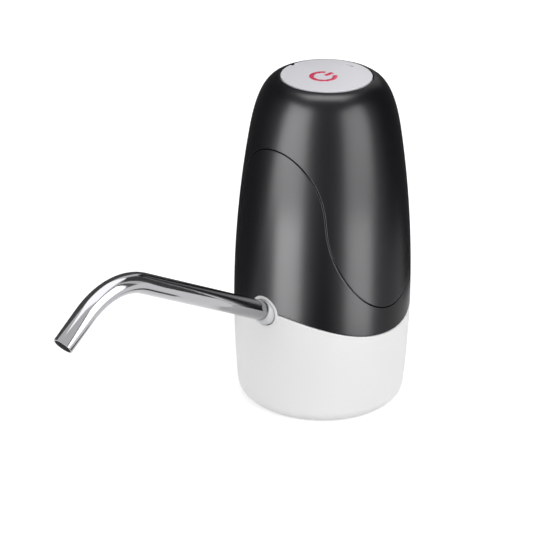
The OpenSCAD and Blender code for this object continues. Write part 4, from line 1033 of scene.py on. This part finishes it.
def group(name, pieces):
    made = bpy.data.collections.new(name)
    for piece in pieces:
        made.objects.link(piece)
    return made


def lamp(name, place, facing, along, size, brightness, pieces=None):
    """An even area lamp, its first side along a direction. With pieces, only their gloss sees it."""
    data = bpy.data.lights.new(name, "AREA")
    data.shape, data.size, data.size_y = "RECTANGLE", *size
    data.energy = brightness * math.pi * size[0] * size[1]
    made = bpy.data.objects.new(name, data)
    back = -facing.normalized()
    side = (along - back * along.dot(back)).normalized()
    turn = Matrix((side, back.cross(side), back)).transposed().to_4x4()
    made.matrix_world = Matrix.Translation(place) @ turn
    made.visible_camera = False
    made.visible_glossy = made.visible_transmission = pieces is not None
    made.visible_diffuse = pieces is None
    if pieces:
        made.light_linking.receiver_collection = made.light_linking.blocker_collection = pieces
    bpy.context.scene.collection.objects.link(made)


def softbox(name, azimuth, distance, size, brightness, pieces, middle=Vector((0, 0, 0))):
    """A softbox that stands on the table and faces a place on it."""
    out = direction(azimuth)
    lamp(name, middle + out * distance + UP * size[1] / 2, -out, out.cross(UP), size, brightness, pieces)


def low_box(name, azimuth, distance, size, brightness, pieces):
    """A low softbox on the table, close to the wall that mirrors it."""
    softbox(name, azimuth, distance, size, brightness, pieces, direction(azimuth / 2) * BODY_R * MM)


print("the camera stands towards", [round(x, 2) for x in direction(0)])

# %% [markdown]
# The lamps are placed as on a photographer's table: the boxes for the black shells first, then those for
# the bright pieces, then the even light. Brightness is what a mirror would show of a lamp, with plain
# white at 1.

# %% Lamps
BOX_AWAY, BOX_HIGH, LOW_AWAY, LOW_SIZE = 0.45, 0.50, 0.07, (0.056, 0.078)
BACK_AWAY, BACK_UP, BACK_SIZE, TOP_UP, FILL_AWAY = 0.115, 0.06, (0.056, 0.115), 0.8, 1.3
STEEL_BOX, STEEL_TURN, STEEL_AWAY, SPOUT_TIP = (0.30, 0.38), 68, 0.35, Vector((0.14, 0, 0))
SIDES = (("left", -50, -46, 0.40, 27.0), ("right", 49, 48, 0.34, 19.0))
FILLS = (("fill_left", -50, 30, 0.9, 2.7), ("fill_right", 50, 30, 0.9, 3.2),
         ("fill_top", 20, 80, 1.0, 1.6), ("fill_back", 180, 35, 0.9, 1.2))
satin = group("satin_pieces", [upper_shell, lower_shell])
bright = group("bright_pieces", [spout_tube, spout_collar, base_shell, power_button])
for side, azimuth, low_azimuth, width, brightness in SIDES:
    softbox("softbox_" + side, azimuth, BOX_AWAY, (width, BOX_HIGH), brightness, satin)
    low_box("low_box_" + side, low_azimuth, LOW_AWAY, LOW_SIZE, brightness, satin)
back_place = direction(180) * BACK_AWAY + UP * BACK_UP
lamp("back_box", back_place, direction(0), direction(90), BACK_SIZE, 20.0, satin)
lamp("softbox_top", UP * TOP_UP, -UP, direction(90), (0.60, 0.34), 21.0, satin)
softbox("steel_right", STEEL_TURN, STEEL_AWAY, STEEL_BOX, 3.0, bright, SPOUT_TIP)
lamp("steel_top", UP * TOP_UP, -UP, direction(90), (0.9, 0.9), 1.5, bright)
for name, azimuth, elevation, width, brightness in FILLS:
    e = math.radians(elevation)
    away = direction(azimuth) * math.cos(e) + UP * math.sin(e)
    lamp(name, AIM + away * FILL_AWAY, -away, direction(azimuth + 90), (width, width), brightness)
spout_tube.visible_glossy = False
bpy.context.scene.view_settings.view_transform = "Standard"

# %% [markdown]
# A photographer also stands black cards round shiny things, out of the picture, so that their edges turn
# dark and their shape reads against white. Curved cards stand behind the pump, a flat one on the left
# with a rising lower edge that leaves the softbox free, and one lies on the table in front. A dark frame
# round the steel's softbox draws the fine dark line beside the bright stripe on the spout. Only
# reflections see them.

# %% Black cards
CARD_LOW, CARD_DARK, CARD_PALE = 0.001, (0.12, 0.12, 0.12, 1), (0.15, 0.15, 0.15, 1)


def card_finish():
    finish = Finish(bpy.data.materials.new("black_card"))
    fibre = finish.noise(800, 3)
    return finish.surface({"Specular IOR Level": 0.0}, Base_Color=finish.mix(fibre, CARD_DARK, CARD_PALE),
                          Roughness=0.9 + 0.05 * fibre)


def card(name, rows):
    """A sheet from rows of points in metres, seen by reflections alone."""
    count = len(rows[0])
    mesh = bpy.data.meshes.new(name)
    faces = [(r * count + i, r * count + i + 1, (r + 1) * count + i + 1, (r + 1) * count + i)
             for r in range(len(rows) - 1) for i in range(count - 1)]
    mesh.from_pydata([point for row in rows for point in row], [], faces)
    mesh.materials.append(BLACK_CARD)
    made = bpy.data.objects.new(name, mesh)
    bpy.context.scene.collection.objects.link(made)
    made.visible_camera = made.visible_diffuse = made.visible_shadow = False


def curved_card(name, radius, first, last, high):
    turns = np.linspace(first, last, 40)
    card(name, [[direction(a) * radius + UP * z for a in turns] for z in (CARD_LOW, high)])


def frame_card(name, azimuth, distance, size, border, middle):
    """A dark border round the sides and the top of a softbox."""
    across = direction(azimuth + 90)
    place = middle + direction(azimuth) * distance
    half, high = size[0] / 2, size[1]
    rows = [[(-half - b, CARD_LOW), (-half - b, high + b), (half + b, high + b), (half + b, CARD_LOW)]
            for b in (0, border)]
    card(name, [[place + across * w + UP * z for w, z in row] for row in rows])


BLACK_CARD = card_finish()
LEFT_Y, LEFT_TOP, LEFT_EDGE = -0.09, 0.25, ((-0.12, CARD_LOW), (0.07, CARD_LOW), (0.19, 0.12))
FRONT_Z, FRONT_ENDS = 0.002, ((0.06, 0.012), (0.40, 0.075))
curved_card("card_behind", 0.12, 112, 262, 0.17)
curved_card("card_right_behind", 0.25, 86, 140, 0.45)
card("card_left", [[Vector((x, LEFT_Y, z)) for x, z in LEFT_EDGE],
                   [Vector((x, LEFT_Y, LEFT_TOP)) for x, _ in LEFT_EDGE]])
card("card_front", [[direction(0) * far_off + direction(90) * across + UP * FRONT_Z
                     for across in (-half, half)] for far_off, half in FRONT_ENDS])
frame_card("card_frame", STEEL_TURN, STEEL_AWAY, STEEL_BOX, 0.04, SPOUT_TIP)
